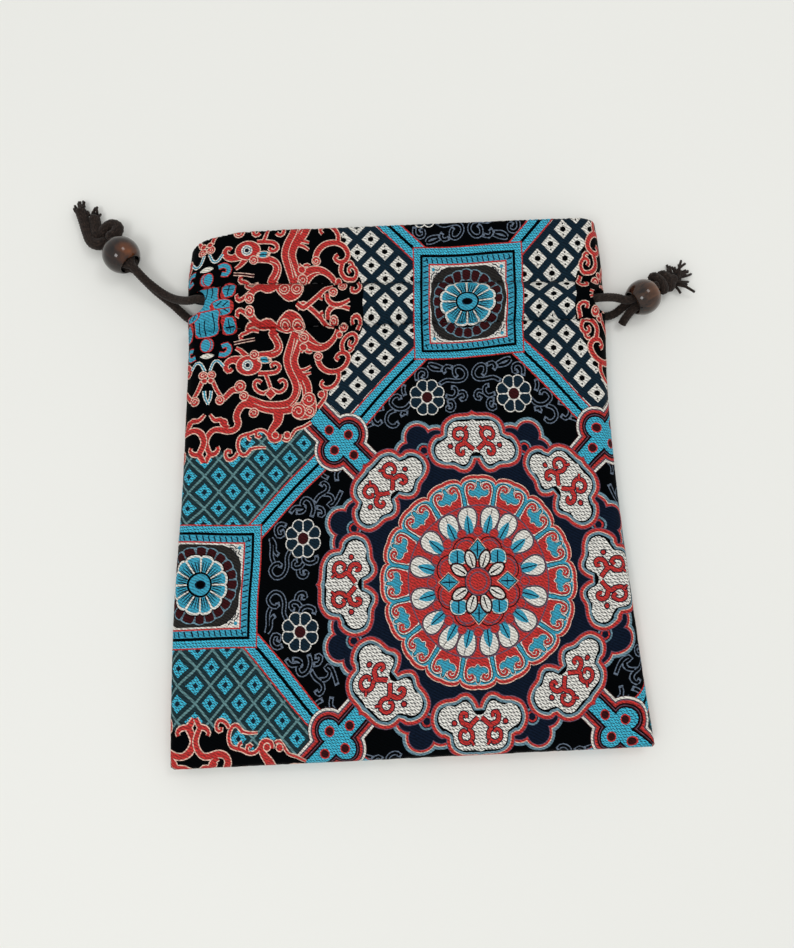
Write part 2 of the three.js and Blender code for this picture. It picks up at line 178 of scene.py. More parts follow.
cordRoutes = {
    "left_cord_front": [
        (-0.0490, 0.0564, 0.0126), (-0.0525, 0.0564, 0.0126), (-0.0559, 0.0564, 0.0126),
        (-0.0592, 0.0567, 0.0124), (-0.0624, 0.0576, 0.0115), (-0.0656, 0.0579, 0.0097),
        (-0.0686, 0.0589, 0.0076), (-0.0716, 0.0603, 0.0058), (-0.0746, 0.0621, 0.0050),
        (-0.0776, 0.0643, 0.0053), (-0.0806, 0.0669, 0.0061), (-0.0830, 0.0695, 0.0070),
        (-0.0853, 0.0721, 0.0075), (-0.0885, 0.0758, 0.0076), (-0.0921, 0.0799, 0.0075),
    ],
    "left_cord_back": [
        (-0.0490, 0.0564, 0.0027), (-0.0525, 0.0564, 0.0027), (-0.0558, 0.0564, 0.0027),
        (-0.0587, 0.0560, 0.0027), (-0.0612, 0.0550, 0.0026), (-0.0642, 0.0540, 0.0023),
        (-0.0673, 0.0547, 0.0019), (-0.0698, 0.0569, 0.0017), (-0.0723, 0.0594, 0.0016),
        (-0.0752, 0.0620, 0.0017), (-0.0783, 0.0647, 0.0022), (-0.0816, 0.0680, 0.0033),
        (-0.0853, 0.0721, 0.0044), (-0.0885, 0.0758, 0.0045), (-0.0918, 0.0796, 0.0045),
    ],
    "right_cord_front": [
        (0.0510, 0.0522, 0.0126), (0.0540, 0.0523, 0.0126), (0.0570, 0.0526, 0.0124),
        (0.0600, 0.0530, 0.0119), (0.0628, 0.0534, 0.0113), (0.0652, 0.0538, 0.0106),
        (0.0674, 0.0541, 0.0098), (0.0694, 0.0543, 0.0089), (0.0713, 0.0542, 0.0082),
        (0.0732, 0.0539, 0.0076), (0.0753, 0.0540, 0.0073), (0.0773, 0.0550, 0.0073),
        (0.0793, 0.0561, 0.0073), (0.0820, 0.0575, 0.0073), (0.0842, 0.0587, 0.0072),
    ],
    "right_cord_back": [
        (0.0510, 0.0522, 0.0027), (0.0540, 0.0523, 0.0027), (0.0570, 0.0524, 0.0027),
        (0.0600, 0.0524, 0.0028), (0.0628, 0.0520, 0.0028), (0.0653, 0.0511, 0.0024),
        (0.0676, 0.0506, 0.0019), (0.0697, 0.0509, 0.0017), (0.0716, 0.0517, 0.0020),
        (0.0735, 0.0529, 0.0032), (0.0753, 0.0540, 0.0042), (0.0773, 0.0550, 0.0043),
        (0.0793, 0.0561, 0.0043), (0.0820, 0.0575, 0.0043), (0.0838, 0.0585, 0.0043),
    ],
    "right_cord_end": [
        (0.0801, 0.0535, 0.0058), (0.0783, 0.0526, 0.0058), (0.0766, 0.0517, 0.0056),
        (0.0752, 0.0505, 0.0048), (0.0741, 0.0492, 0.0034), (0.0732, 0.0478, 0.0020),
    ],
}

# the stretch of each drawstring inside the casing, and where it turns back at the other slit
cordLoops = {
    "left_cord_loop": dict(startX=-0.0487, startY=0.0564, turnX=0.0540, turnY=0.0556, side=1),
    "right_cord_loop": dict(startX=0.0507, startY=0.0522, turnX=-0.0519, turnY=0.0532, side=-1),
}
loopHeights = dict(front=0.0126, back=0.0027)


def evenPoints(points, step):
    # points at an even spacing on a smooth curve through the given ones
    points = np.array(points, float)
    ends = np.vstack([2 * points[0] - points[1], points, 2 * points[-1] - points[-2]])
    t = np.linspace(0, 1, curveSteps, endpoint=False)[:, None]
    fine = []
    for a, b, c, d in zip(ends, ends[1:], ends[2:], ends[3:]):
        fine.append(0.5 * (2 * b + (c - a) * t + (2 * a - 5 * b + 4 * c - d) * t ** 2
                           + (3 * b - a - 3 * c + d) * t ** 3))
    fine = np.vstack(fine + [points[-1:]])
    run = np.concatenate([[0], np.cumsum(np.linalg.norm(np.diff(fine, axis=0), axis=1))])
    places = np.linspace(0, run[-1], max(2, round(run[-1] / step) + 1))
    return np.stack([np.interp(places, run, fine[:, k]) for k in range(fine.shape[1])], axis=1), run[-1]


def ringFrames(line):
    # side and up vectors that follow a line without twisting
    ahead = np.gradient(line, axis=0)
    ahead /= np.linalg.norm(ahead, axis=1)[:, None]
    sides = [np.cross(ahead[0], (0, 0, 1.0))]
    for direction in ahead:
        side = sides[-1] - direction * np.dot(sides[-1], direction)
        sides.append(side / np.linalg.norm(side))
    side = np.array(sides[1:])
    return side, np.cross(side, ahead)


def braidRelief(turn, run, pitch, strands):
    # two sets of strands wind opposite ways and pass over and under each other
    first = strands * turn + 2 * math.pi * strands * run / pitch
    second = strands * turn - 2 * math.pi * strands * run / pitch
    over = 0.5 + 0.5 * np.sin(0.5 * (first + second)) * np.sin(0.5 * (first - second))
    return over * np.abs(np.cos(0.5 * first)) + (1 - over) * np.abs(np.cos(0.5 * second))


def addTube(bm, uvLayer, line, radii, sides, relief=None, flat=1.0, wide=None):
    # rings along a line, joined into a closed tube
    side, up = ringFrames(line)
    run = np.concatenate([[0], np.cumsum(np.linalg.norm(np.diff(line, axis=0), axis=1))])
    turns = np.arange(sides) * 2 * math.pi / sides
    rings = []
    for k, point in enumerate(line):
        swell = radii[k] * (1 + (relief(turns, run[k]) if relief else 0))
        across = swell * (1 if wide is None else wide[k])
        ring = point + np.outer(across * np.cos(turns), side[k])
        ring = ring + np.outer(flat * swell * np.sin(turns), up[k])
        rings.append([bm.verts.new(place) for place in ring])
    for k in range(len(rings) - 1):
        for j in range(sides):
            face = bm.faces.new((rings[k][j], rings[k][(j + 1) % sides],
                                 rings[k + 1][(j + 1) % sides], rings[k + 1][j]))
            face.smooth = True
            corners = ((k, j), (k, j + 1), (k + 1, j + 1), (k + 1, j))
            for loop, (ringAt, turnAt) in zip(face.loops, corners):
                loop[uvLayer].uv = (run[ringAt] * cordLook["uvPerMetre"], turnAt / sides)
    bm.faces.new(rings[0][::-1])
    bm.faces.new(rings[-1])


def pieceName(node):
    # left_cord_front becomes leftCordFront
    first, *rest = node.split("_")
    return first + "".join(word.title() for word in rest)


def finishPiece(name, bm, materials, nodes=()):
    bmesh.ops.recalc_face_normals(bm, faces=bm.faces)
    mesh = bpy.data.meshes.new(name)
    bm.to_mesh(mesh)
    bm.free()
    for material in materials:
        mesh.materials.append(material)
    piece = bpy.data.objects.new(name, mesh)
    bpy.context.collection.objects.link(piece)
    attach(piece, "root")
    if nodes:
        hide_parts(*nodes)
    return piece


cordYarnLook = dict(deep=(0.003, 0.0018, 0.0015, 1), worn=(0.015, 0.009, 0.007, 1),
                    pale=(0.066, 0.042, 0.031, 1), paleFrom=0.5, paleFull=0.72, fuzz=26.0,
                    streaks=(9.0, 60.0, 1.0), relief=0.5, reliefHeight=0.0002, roughness=0.78, sheen=0.08,
                    sheenRoughness=0.5, specular=0.15)


def makeCordYarn():
    look = cordYarnLook
    material, tree, shader = newMaterial("darkCordYarn")
    place = addNode(tree, "ShaderNodeUVMap", {"uv_map": "cordRun"}).outputs["UV"]
    fuzz = addNode(tree, "ShaderNodeTexNoise", Vector=place, Scale=look["fuzz"], Detail=6.0).outputs["Fac"]
    streak = addNode(tree, "ShaderNodeMapping", Vector=place, Scale=look["streaks"]).outputs["Vector"]
    fibre = addNode(tree, "ShaderNodeTexNoise", Vector=streak, Scale=1.0, Detail=4.0).outputs["Fac"]
    worn = addMix(tree, fuzz, look["deep"], look["worn"])
    colour = addMix(tree, addRamp(tree, fibre, look["paleFrom"], look["paleFull"]), worn, look["pale"])
    bump = addNode(tree, "ShaderNodeBump", Strength=look["relief"], Distance=look["reliefHeight"],
                   Height=fibre)
    feedAll(tree, shader, dict(Base_Color=colour, Normal=bump.outputs["Normal"], Roughness=look["roughness"],
                               Sheen_Weight=look["sheen"], Sheen_Roughness=look["sheenRoughness"],
                               Specular_IOR_Level=look["specular"]))
    return material


cordYarn = makeCordYarn()


def braid(turns, run):
    relief = braidRelief(turns, run, cordLook["braidPitch"], cordLook["strands"])
    return cordLook["braidDepth"] * (relief - cordLook["braidMiddle"])


# both left strands are pressed wide where they fill the bore of their bead
pressed = dict(middle=(-0.0885, 0.0758), full=0.0042, gone=0.0062, wider=2.0)


def makeCord(node, points, step):
    bm = bmesh.new()
    uvLayer = bm.loops.layers.uv.new("cordRun")
    line, length = evenPoints(points, step)
    radii = np.full(len(line), cordLook["diameter"] / 2)
    away = np.hypot(line[:, 0] - pressed["middle"][0], line[:, 1] - pressed["middle"][1])
    wide = np.interp(away, [pressed["full"], pressed["gone"]], [pressed["wider"], 1])
    addTube(bm, uvLayer, line, radii, cordLook["sides"], braid, flat=cordLook["flat"], wide=wide)
    return finishPiece(pieceName(node), bm, [cordYarn], [node]), line, length


def loopRoute(loop):
    # along the front of the casing, round at the far slit, and back along the back
    front, back = loopHeights["front"], loopHeights["back"]
    radius = (front - back) / 2
    ahead = [(loop["startX"] + (loop["turnX"] - loop["startX"]) * share,
              loop["startY"] + (loop["turnY"] - loop["startY"]) * share) for share in (0, 0.3, 0.6, 0.9, 1)]
    route = [(x, y, front) for x, y in ahead]
    for k in range(1, cordLook["turnSteps"]):
        turn = math.pi * k / cordLook["turnSteps"]
        route.append((loop["turnX"] + loop["side"] * radius * math.sin(turn), loop["turnY"],
                      (front + back) / 2 + radius * math.cos(turn)))
    return route + [(x, y, back) for x, y in ahead[::-1]]


cordPieces = {node: makeCord(node, points, cordLook["step"]) for node, points in cordRoutes.items()}
for node, loop in cordLoops.items():
    makeCord(node, loopRoute(loop), cordLook["loopStep"])
print("cords braided")


# beads

# the glow point and the amber of each bead set a painted glow: amber light painted into the lacquer high on
# the bead
beadSizes = {
    "left_bead": dict(centre=(-0.0885, 0.0758, 0.00605), radius=0.0060, bore=0.0034, heading=131,
                      glow=(-0.0848, 0.0746, 0.0106), wood=(0.022, 0.008, 0.0035, 1),
                      amber=(0.26, 0.070, 0.012, 1)),
    "right_bead": dict(centre=(0.0797, 0.0553, 0.00575), radius=0.0057, bore=0.00355, heading=28,
                       glow=(0.0826, 0.0558, 0.0106), wood=(0.058, 0.026, 0.013, 1),
                       amber=(0.14, 0.050, 0.016, 1)),
}
beadShape = dict(arcSteps=28, spinSteps=72, lip=0.00045, lipSteps=((0.1, 0.45), (0.5, 0.1), (1, 0)))
# the cloud scale, reach and full distance of the glow shape the painted glow: how it breaks up, how far it
# reaches and where it is strongest
lacquerLook = dict(deep=(0.003, 0.0012, 0.0008, 1), tilt=(0.35, 0.25), grain=(120, 900, 900), paintedGlowClouds=190.0,
                   paintedGlowReach=0.0046, paintedGlowFull=0.0008, relief=0.12, reliefHeight=0.0002, roughness=0.25,
                   specular=0.06, coat=0.85, coatRoughness=0.03)


def makeLacquer(name, size):
    look = lacquerLook
    material, tree, shader = newMaterial(name)
    place = addNode(tree, "ShaderNodeTexCoord").outputs["Object"]
    turned = addNode(tree, "ShaderNodeMapping", {"vector_type": "TEXTURE"}, Vector=place,
                     Location=size["centre"], Rotation=(*look["tilt"], math.radians(size["heading"])))
    turned = turned.outputs["Vector"]
    long = addNode(tree, "ShaderNodeMapping", Vector=turned, Scale=look["grain"]).outputs["Vector"]
    grain = addNode(tree, "ShaderNodeTexNoise", Vector=long, Scale=1.0, Detail=5.0, Distortion=0.6)
    grain = grain.outputs["Fac"]
    cloud = addNode(tree, "ShaderNodeTexNoise", Vector=turned, Scale=look["paintedGlowClouds"], Detail=2.0)
    cloud = cloud.outputs["Fac"]
    dark = addMix(tree, addRamp(tree, grain, 0.35, 0.7), look["deep"], size["wood"])
    # painted glow: amber light painted round a point high on the bead, fading with distance from it and
    # broken up by cloud noise
    gap = addNode(tree, "ShaderNodeVectorMath", {"operation": "DISTANCE"}, Vector=place)
    gap.inputs[1].default_value = size["glow"]
    spot = addRamp(tree, gap.outputs["Value"], look["paintedGlowReach"], look["paintedGlowFull"])
    share = addMath(tree, "MULTIPLY", spot, addRamp(tree, cloud, 0.30, 0.62))
    woodWithPaintedGlow = addMix(tree, share, dark, size["amber"])
    bump = addNode(tree, "ShaderNodeBump", Strength=look["relief"], Distance=look["reliefHeight"],
                   Height=grain)
    feedAll(tree, shader, dict(Base_Color=woodWithPaintedGlow, Normal=bump.outputs["Normal"], Roughness=look["roughness"],
                               Specular_IOR_Level=look["specular"], Coat_Weight=look["coat"],
                               Coat_Roughness=look["coatRoughness"]))
    return material


def makeBead(node, size):
    bm = bmesh.new()
    radius, bore, lip = size["radius"], size["bore"], beadShape["lip"]
    reach = math.asin((bore + lip) / radius)
    profile = []
    for k in range(beadShape["arcSteps"] + 1):
        turn = reach + (math.pi - 2 * reach) * k / beadShape["arcSteps"]
        profile.append((radius * math.cos(turn), radius * math.sin(turn)))
    end = radius * math.cos(reach)
    steps = [(end - lip * along, bore + lip * out) for along, out in beadShape["lipSteps"]]
    profile += [(-along, out) for along, out in steps] + steps[::-1]
    verts = [bm.verts.new((along, out, 0)) for along, out in profile]
    edges = [bm.edges.new((a, b)) for a, b in zip(verts, verts[1:] + verts[:1])]
    bmesh.ops.spin(bm, geom=verts + edges, cent=(0, 0, 0), axis=(1, 0, 0), angle=2 * math.pi,
                   steps=beadShape["spinSteps"], use_merge=True)
    bmesh.ops.remove_doubles(bm, verts=bm.verts, dist=1e-6)
    turn = Matrix.Rotation(math.radians(size["heading"]), 4, "Z")
    bmesh.ops.transform(bm, matrix=Matrix.Translation(size["centre"]) @ turn, verts=bm.verts)
    for face in bm.faces:
        face.smooth = True
    name = pieceName(node)
    return finishPiece(name, bm, [makeLacquer(name + "Lacquer", size)], [node])


beadPieces = {node: makeBead(node, size) for node, size in beadSizes.items()}
print("beads turned")


# knots: turns of the cord, and the yarns that fray from its cut ends

knotShapes = {
    "left_knot": dict(
        diameter=0.0039,
        turns=[
            [(-0.0936, 0.0817, 0.0054), (-0.0908, 0.0837, 0.0050), (-0.0904, 0.0862, 0.0043),
             (-0.0925, 0.0873, 0.0038), (-0.0949, 0.0859, 0.0034), (-0.0966, 0.0828, 0.0028)],
            [(-0.0934, 0.0816, 0.0044), (-0.0964, 0.0805, 0.0042), (-0.0991, 0.0819, 0.0035),
             (-0.1007, 0.0853, 0.0028), (-0.1023, 0.0901, 0.0023), (-0.1039, 0.0946, 0.0022)],
            [(-0.0972, 0.0822, 0.0036), (-0.0980, 0.0870, 0.0027), (-0.0992, 0.0918, 0.0022)],
        ],
        frays=[
            dict(root=(-0.1037, 0.0940, 0.0022), low=68, high=140, length=0.0028, count=13, spread=0.0014),
            dict(root=(-0.0991, 0.0912, 0.0022), low=62, high=118, length=0.0024, count=11, spread=0.0014),
        ]),
    "right_knot": dict(
        diameter=0.0038,
        turns=[
            [(0.0825, 0.0630, 0.0048), (0.0857, 0.0605, 0.0052), (0.0872, 0.0565, 0.0048)],
            [(0.0858, 0.0641, 0.0036), (0.0888, 0.0613, 0.0044), (0.0894, 0.0577, 0.0036)],
            [(0.0869, 0.0597, 0.0046), (0.0895, 0.0611, 0.0042), (0.0919, 0.0623, 0.0034)],
        ],
        frays=[
            dict(root=(0.0909, 0.0619, 0.0032), low=-34, high=116, length=0.0056, count=30, spread=0.0016),
        ]),
}
knotEnds = dict(rings=6, roundness=0.9)   # rings over which the end of a turn is rounded off, and how far
fibreLook = dict(rootRadius=0.00048, tipRadius=0.00044, sides=5, steps=6, seed=11, lengths=(0.6, 1.1),
                 curl=0.5, rise=(-0.2, 0.35), sag=0.7, lowest=0.0006)


def addFibre(bm, uvLayer, rng, root, heading, length, spread):
    # one yarn that bends down to the surface and curls a little
    heading = math.radians(heading)
    turn = rng.uniform(-fibreLook["curl"], fibreLook["curl"])
    aside = [rng.uniform(-1, 1), rng.uniform(-1, 1), rng.uniform(-0.6, 0.8)]
    place = np.array(root) + np.array(aside) * spread
    rise = rng.uniform(*fibreLook["rise"])
    stride = length / (fibreLook["steps"] - 1)
    line = []
    for k in range(fibreLook["steps"]):
        line.append(place.copy())
        share = k / (fibreLook["steps"] - 1)
        angle = heading + turn * share
        place = place + stride * np.array([math.cos(angle), math.sin(angle), rise - fibreLook["sag"] * share])
        place[2] = max(place[2], fibreLook["lowest"])
    radii = np.linspace(fibreLook["rootRadius"], fibreLook["tipRadius"], fibreLook["steps"])
    addTube(bm, uvLayer, np.array(line), radii, fibreLook["sides"])


def makeKnot(node, shape):
    rng = random.Random(fibreLook["seed"])
    bm = bmesh.new()
    uvLayer = bm.loops.layers.uv.new("cordRun")
    for turn in shape["turns"]:
        line = evenPoints(turn, cordLook["step"])[0]
        fromEnd = np.minimum(np.arange(len(line)), np.arange(len(line))[::-1]) / knotEnds["rings"]
        radii = shape["diameter"] / 2 * np.sqrt(1 - np.clip(1 - fromEnd, 0, knotEnds["roundness"]) ** 2)
        addTube(bm, uvLayer, line, radii, cordLook["sides"], braid)
    for fray in shape["frays"]:
        for k in range(fray["count"]):
            heading = rng.uniform(fray["low"], fray["high"])
            length = fray["length"] * rng.uniform(*fibreLook["lengths"])
            addFibre(bm, uvLayer, rng, fray["root"], heading, length, fray["spread"])
    return finishPiece(pieceName(node), bm, [cordYarn], [node])


knotPieces = {node: makeKnot(node, shape) for node, shape in knotShapes.items()}
print("knots tied")


# cloth: the middle of each panel, by the formulas of the source with a softer casing, in millimetres

clothShape = dict(wall=1.0, inside=0.2, seam=5.2, bottom=-84.0, top=79.0, roll=6.5, leastRise=0.3,
                  foldDepth=1.4, hemEnd=43.6, lowerStitch=47.1, upperStitch=60.1, casingRise=3.0,
                  casingPower=2.6, droopFrom=-44.0, droopWidth=17.0, droop=2.6, droopLow=25.0,
                  foldsEndLow=9, foldsEndHigh=5)

clothRows = dict(
    y=[-84.0, -66.0, -36.0, -6.0, 25.0, 47.1, 60.1, 69.5, 79.0],
    left=[-70.9, -70.9, -70.1, -68.0, -66.6, -65.9, -66.2, -66.0, -65.0],
    right=[70.9, 69.4, 67.5, 65.9, 65.3, 66.2, 66.3, 66.2, 65.4],
    height=[8.6, 9.2, 10.2, 11.2, 11.9, 12.3, 12.3, 12.5, 12.2],
    fall=[1.0, 1.4, 1.8, 1.8, 1.4, 0.0, 0.0, 0.2, 0.2],
    tilt=[0.010, 0.008, 0.000, -0.010, -0.014, -0.008, -0.028, -0.010, 0.008])

# soft folds: centre, half length, half width, direction and height
clothFolds = [
    (-42, 34, 20, 6, 75, 0.8), (-22, 36, 16, 5, 95, -0.7), (2, 33, 18, 6, 84, 0.7), (28, 36, 15, 5, 98, -0.6),
    (47, 32, 20, 6, 104, 0.8), (-44, -18, 34, 9, 62, -0.6), (12, -8, 30, 10, 20, 0.6),
    (40, -40, 32, 9, 118, -0.6), (-18, -58, 30, 9, 8, 0.6), (-36, 70, 11, 5, 80, 0.5),
    (8, 70, 10, 5, 95, 0.4), (44, 70, 11, 5, 100, 0.5),
]
casingPuckers = [(-44, 6, 0.16), (-24, 5, 0.10), (-8, 5, 0.16), (14, 6, 0.12), (31, 4, 0.18), (47, 5, 0.14)]

# slits in the side seams, and where the hem ends behind them
slits = [
    dict(side=-1, inner=-59.2, low=51.3, high=59.7, hemX=-51.5, hemRows=(50.5, 59.4)),
    dict(side=1, inner=61.0, low=48.8, high=56.2, hemX=53.5, hemRows=(49.9, 59.5)),
]

# steps of the rows, the longest edge of a figure, how far a bend may be cut off, and how fine each side is
clothMesh = dict(rollSteps=24, bodySteps=240, casingSteps=90, mouthSteps=40, hemSteps=8, longest=1.8,
                 bend=0.02, edge=1.6, outerGrid=1.0, innerGrid=2.2, fromBorder=0.45, pastHem=5,
                 gap=1e-5, innerGap=1e-6)
# ripples beside the lines of stitches, and the dip along them
gathers = dict(depth=0.22, pitch=5.2, reach=2.6, seam=0.28, seamReach=0.55, wander=2.2, wanderPitch=7.3,
               shift=1.7, inward=0.05)
slitLips = (2.6, 1.6, 0.7)   # where the straight lips of a slit have points, out from its round end


def rowCurve(column, y):
    # a smooth curve through one column of the rows
    places = np.array(clothRows["y"])
    values = np.array(clothRows[column])
    last = len(places) - 1
    before = np.maximum(np.arange(last + 1) - 1, 0)
    after = np.minimum(np.arange(last + 1) + 1, last)
    slopes = (values[after] - values[before]) / (places[after] - places[before])
    k = np.clip(np.searchsorted(places, y) - 1, 0, last - 1)
    step = places[k + 1] - places[k]
    t = np.clip((y - places[k]) / step, 0, 1)
    return ((2 * t ** 3 - 3 * t ** 2 + 1) * values[k] + (t ** 3 - 2 * t ** 2 + t) * step * slopes[k]
            + (3 * t ** 2 - 2 * t ** 3) * values[k + 1] + (t ** 3 - t ** 2) * step * slopes[k + 1])


def easeIn(value, low, high):
    t = np.clip((value - low) / (high - low), 0, 1)
    return t * t * (3 - 2 * t)


def casingLift(y):
    low, high = clothShape["lowerStitch"], clothShape["upperStitch"]
    across = np.clip((2 * y - low - high) / (high - low), -1, 1)
    return clothShape["casingRise"] * (1 - np.abs(across) ** clothShape["casingPower"])


def cornerDroop(x, y):
    past = np.maximum(0, (clothShape["droopFrom"] - x) / clothShape["droopWidth"])
    return clothShape["droop"] * past ** 2 * easeIn(y, clothShape["droopLow"], clothShape["top"])


def softFolds(x, y):
    rise = 0
    for foldX, foldY, long, wide, turn, height in clothFolds:
        c, s = math.cos(math.radians(turn)), math.sin(math.radians(turn))
        u = ((x - foldX) * c + (y - foldY) * s) / long
        v = ((y - foldY) * c - (x - foldX) * s) / wide
        rise = rise + height * np.exp(-u * u - v * v)
    below = easeIn(clothShape["lowerStitch"] - y, 0, clothShape["foldsEndLow"])
    return rise * (below + easeIn(y - clothShape["upperStitch"], 0, clothShape["foldsEndHigh"]))


def puckerRise(x):
    rise = 1
    for place, wide, height in casingPuckers:
        rise = rise + height * np.exp(-((x - place) / wide) ** 2)
    return rise


def stitchGathers(x, y):
    # the thread draws the cloth in, so it dips along the stitches and ripples beside them
    rise = 0
    for k, stitch in enumerate((clothShape["lowerStitch"], clothShape["upperStitch"])):
        gap = y - stitch
        inside = gap * (1 if k == 0 else -1) > 0
        wander = gathers["wander"] * np.sin(x / gathers["wanderPitch"] + k)
        wave = np.sin(2 * math.pi * x / gathers["pitch"] + wander + gathers["shift"] * k)
        ripple = gathers["depth"] * wave * np.exp(-(gap / gathers["reach"]) ** 2)
        rise = rise + np.where(inside, np.maximum(ripple, -gathers["inward"]), ripple)
        rise = rise - gathers["seam"] * np.exp(-(gap / gathers["seamReach"]) ** 2)
    return rise


def makePanelRows(isFront):
    c, steps = clothShape, clothMesh
    chain = []   # row, lift of the bottom edge, depth of the fold, share of hem

    def run(fromY, toY, count, depth, hem):
        for y in np.linspace(fromY, toY, count + 1)[1:]:
            chain.append((y, 1, depth, hem))

    for turn in np.linspace(0, math.pi / 2, steps["rollSteps"] + 1):
        chain.append((c["bottom"] + c["roll"] * (1 - math.cos(turn)), math.sin(turn), 0, 0))
    run(c["bottom"] + c["roll"], c["lowerStitch"], steps["bodySteps"], 0, 0)
    run(c["lowerStitch"], c["upperStitch"], steps["casingSteps"], 0, 0)
    run(c["upperStitch"], c["top"], steps["mouthSteps"], 0, 0)
    topAt = len(chain)
    for turn in np.linspace(0, math.pi, steps["rollSteps"] + 1)[1:]:
        depth = c["foldDepth"] / 2 * (1 - math.cos(turn))
        isHem = 1 if turn == math.pi else 0
        chain.append((c["top"] + c["foldDepth"] / 2 * math.sin(turn), 1, depth, isHem))
    hemAt = len(chain)
    run(c["top"], c["upperStitch"], steps["mouthSteps"], c["foldDepth"], 1)
    run(c["upperStitch"], c["lowerStitch"], steps["casingSteps"], c["foldDepth"], 1)
    run(c["lowerStitch"], c["hemEnd"], steps["hemSteps"], c["foldDepth"], 1)
    y, lift, depth, hem = np.array(chain).T
    rows = dict(y=y, lift=lift, depth=depth, hem=hem, q=np.arange(len(chain)) * 1.0, isFront=isFront,
                topAt=topAt, hemAt=hemAt)
    middle = panelMiddle(rows, np.zeros(len(chain)), rows["q"], False)
    q = np.concatenate([[0], np.cumsum(np.linalg.norm(np.diff(middle, axis=0), axis=1))])
    rows["q"] = q - np.interp(0, y[:topAt], q[:topAt])
    return rows


def rowState(rows, q):
    y, lift, depth, hem = (np.interp(q, rows["q"], rows[name]) for name in ("y", "lift", "depth", "hem"))
    drop = casingLift(y) * hem
    left = rowCurve("left", y) + depth + drop
    right = rowCurve("right", y) - depth - drop
    tall = clothShape["seam"] - clothShape["wall"] / 2 - depth - drop
    if rows["isFront"]:
        tall = (rowCurve("height", y) - rowCurve("fall", y) + casingLift(y) - drop
                - clothShape["wall"] / 2 - depth - clothShape["seam"])
    tall = np.maximum(tall, clothShape["leastRise"]) * lift
    roll = clothShape["roll"]
    # a quarter of an ellipse
    edge = math.pi / 4 * (3 * (roll + tall) - np.sqrt((3 * roll + tall) * (roll + 3 * tall)))
    return y, lift, depth, drop, left, right, edge


def panelMiddle(rows, p, q, gathered=True):
    y, lift, depth, drop, left, right, edge = rowState(rows, q)
    roll, seam, wall = clothShape["roll"], clothShape["seam"], clothShape["wall"]
    overLeft = left + roll - p
    overRight = p - right + roll
    turn = math.pi / 2 * (1 - np.clip(np.maximum(np.maximum(overLeft, overRight), 0) / edge, 0, 1))
    inset = roll * (1 - np.cos(turn))
    x = np.where(overLeft > 0, left + inset, np.where(overRight > 0, right - inset, p))
    lift = lift * np.sin(turn)
    worldY = y + rowCurve("tilt", y) * x - cornerDroop(x, y)
    if rows["isFront"]:
        across = (2 * x - left - right) / (right - left)
        top = (rowCurve("height", y) - rowCurve("fall", y) * across ** 2
               + (casingLift(y) - drop) * puckerRise(x) + softFolds(x, y))
        if gathered:
            top = top + stitchGathers(x, y) * (depth == 0)
        z = seam + (top - wall / 2 - depth - seam) * lift
    else:
        z = seam - (seam - wall / 2 - depth - drop) * lift
    return np.stack([x, worldY, z], axis=1)


def panelSurface(rows, p, q):
    # middle of the cloth and its outward direction
    step = 0.06
    middle = panelMiddle(rows, p, q)
    across = panelMiddle(rows, p + step, q) - panelMiddle(rows, p - step, q)
    up = panelMiddle(rows, p, q + step) - panelMiddle(rows, p, q - step)
    normal = np.cross(across, up) * (1 if rows["isFront"] else -1)
    size = np.linalg.norm(normal, axis=1)[:, None]
    normal = np.where(size > 1e-9, normal / np.maximum(size, 1e-9), (0, 0, 1 if rows["isFront"] else -1))
    return middle, normal


def toFlat(rows, x, y):
    # place on the flat cloth of a place on the panel seen from above
    row = y
    for sweep in range(14):   # settles on the row well before the last
        row = y - rowCurve("tilt", row) * x + cornerDroop(x, row)
    q = np.interp(row, rows["y"][:rows["topAt"]], rows["q"][:rows["topAt"]])
    rowY, lift, depth, drop, left, right, edge = rowState(rows, q)
    roll = clothShape["roll"]
    inset = np.minimum(x - left, right - x)
    share = 1 - np.arccos(np.clip(1 - inset / roll, -1, 1)) / (math.pi / 2)
    p = np.where(inset >= roll, x, np.where(x < 0, left + roll - share * edge, right - roll + share * edge))
    return float(p), float(q)


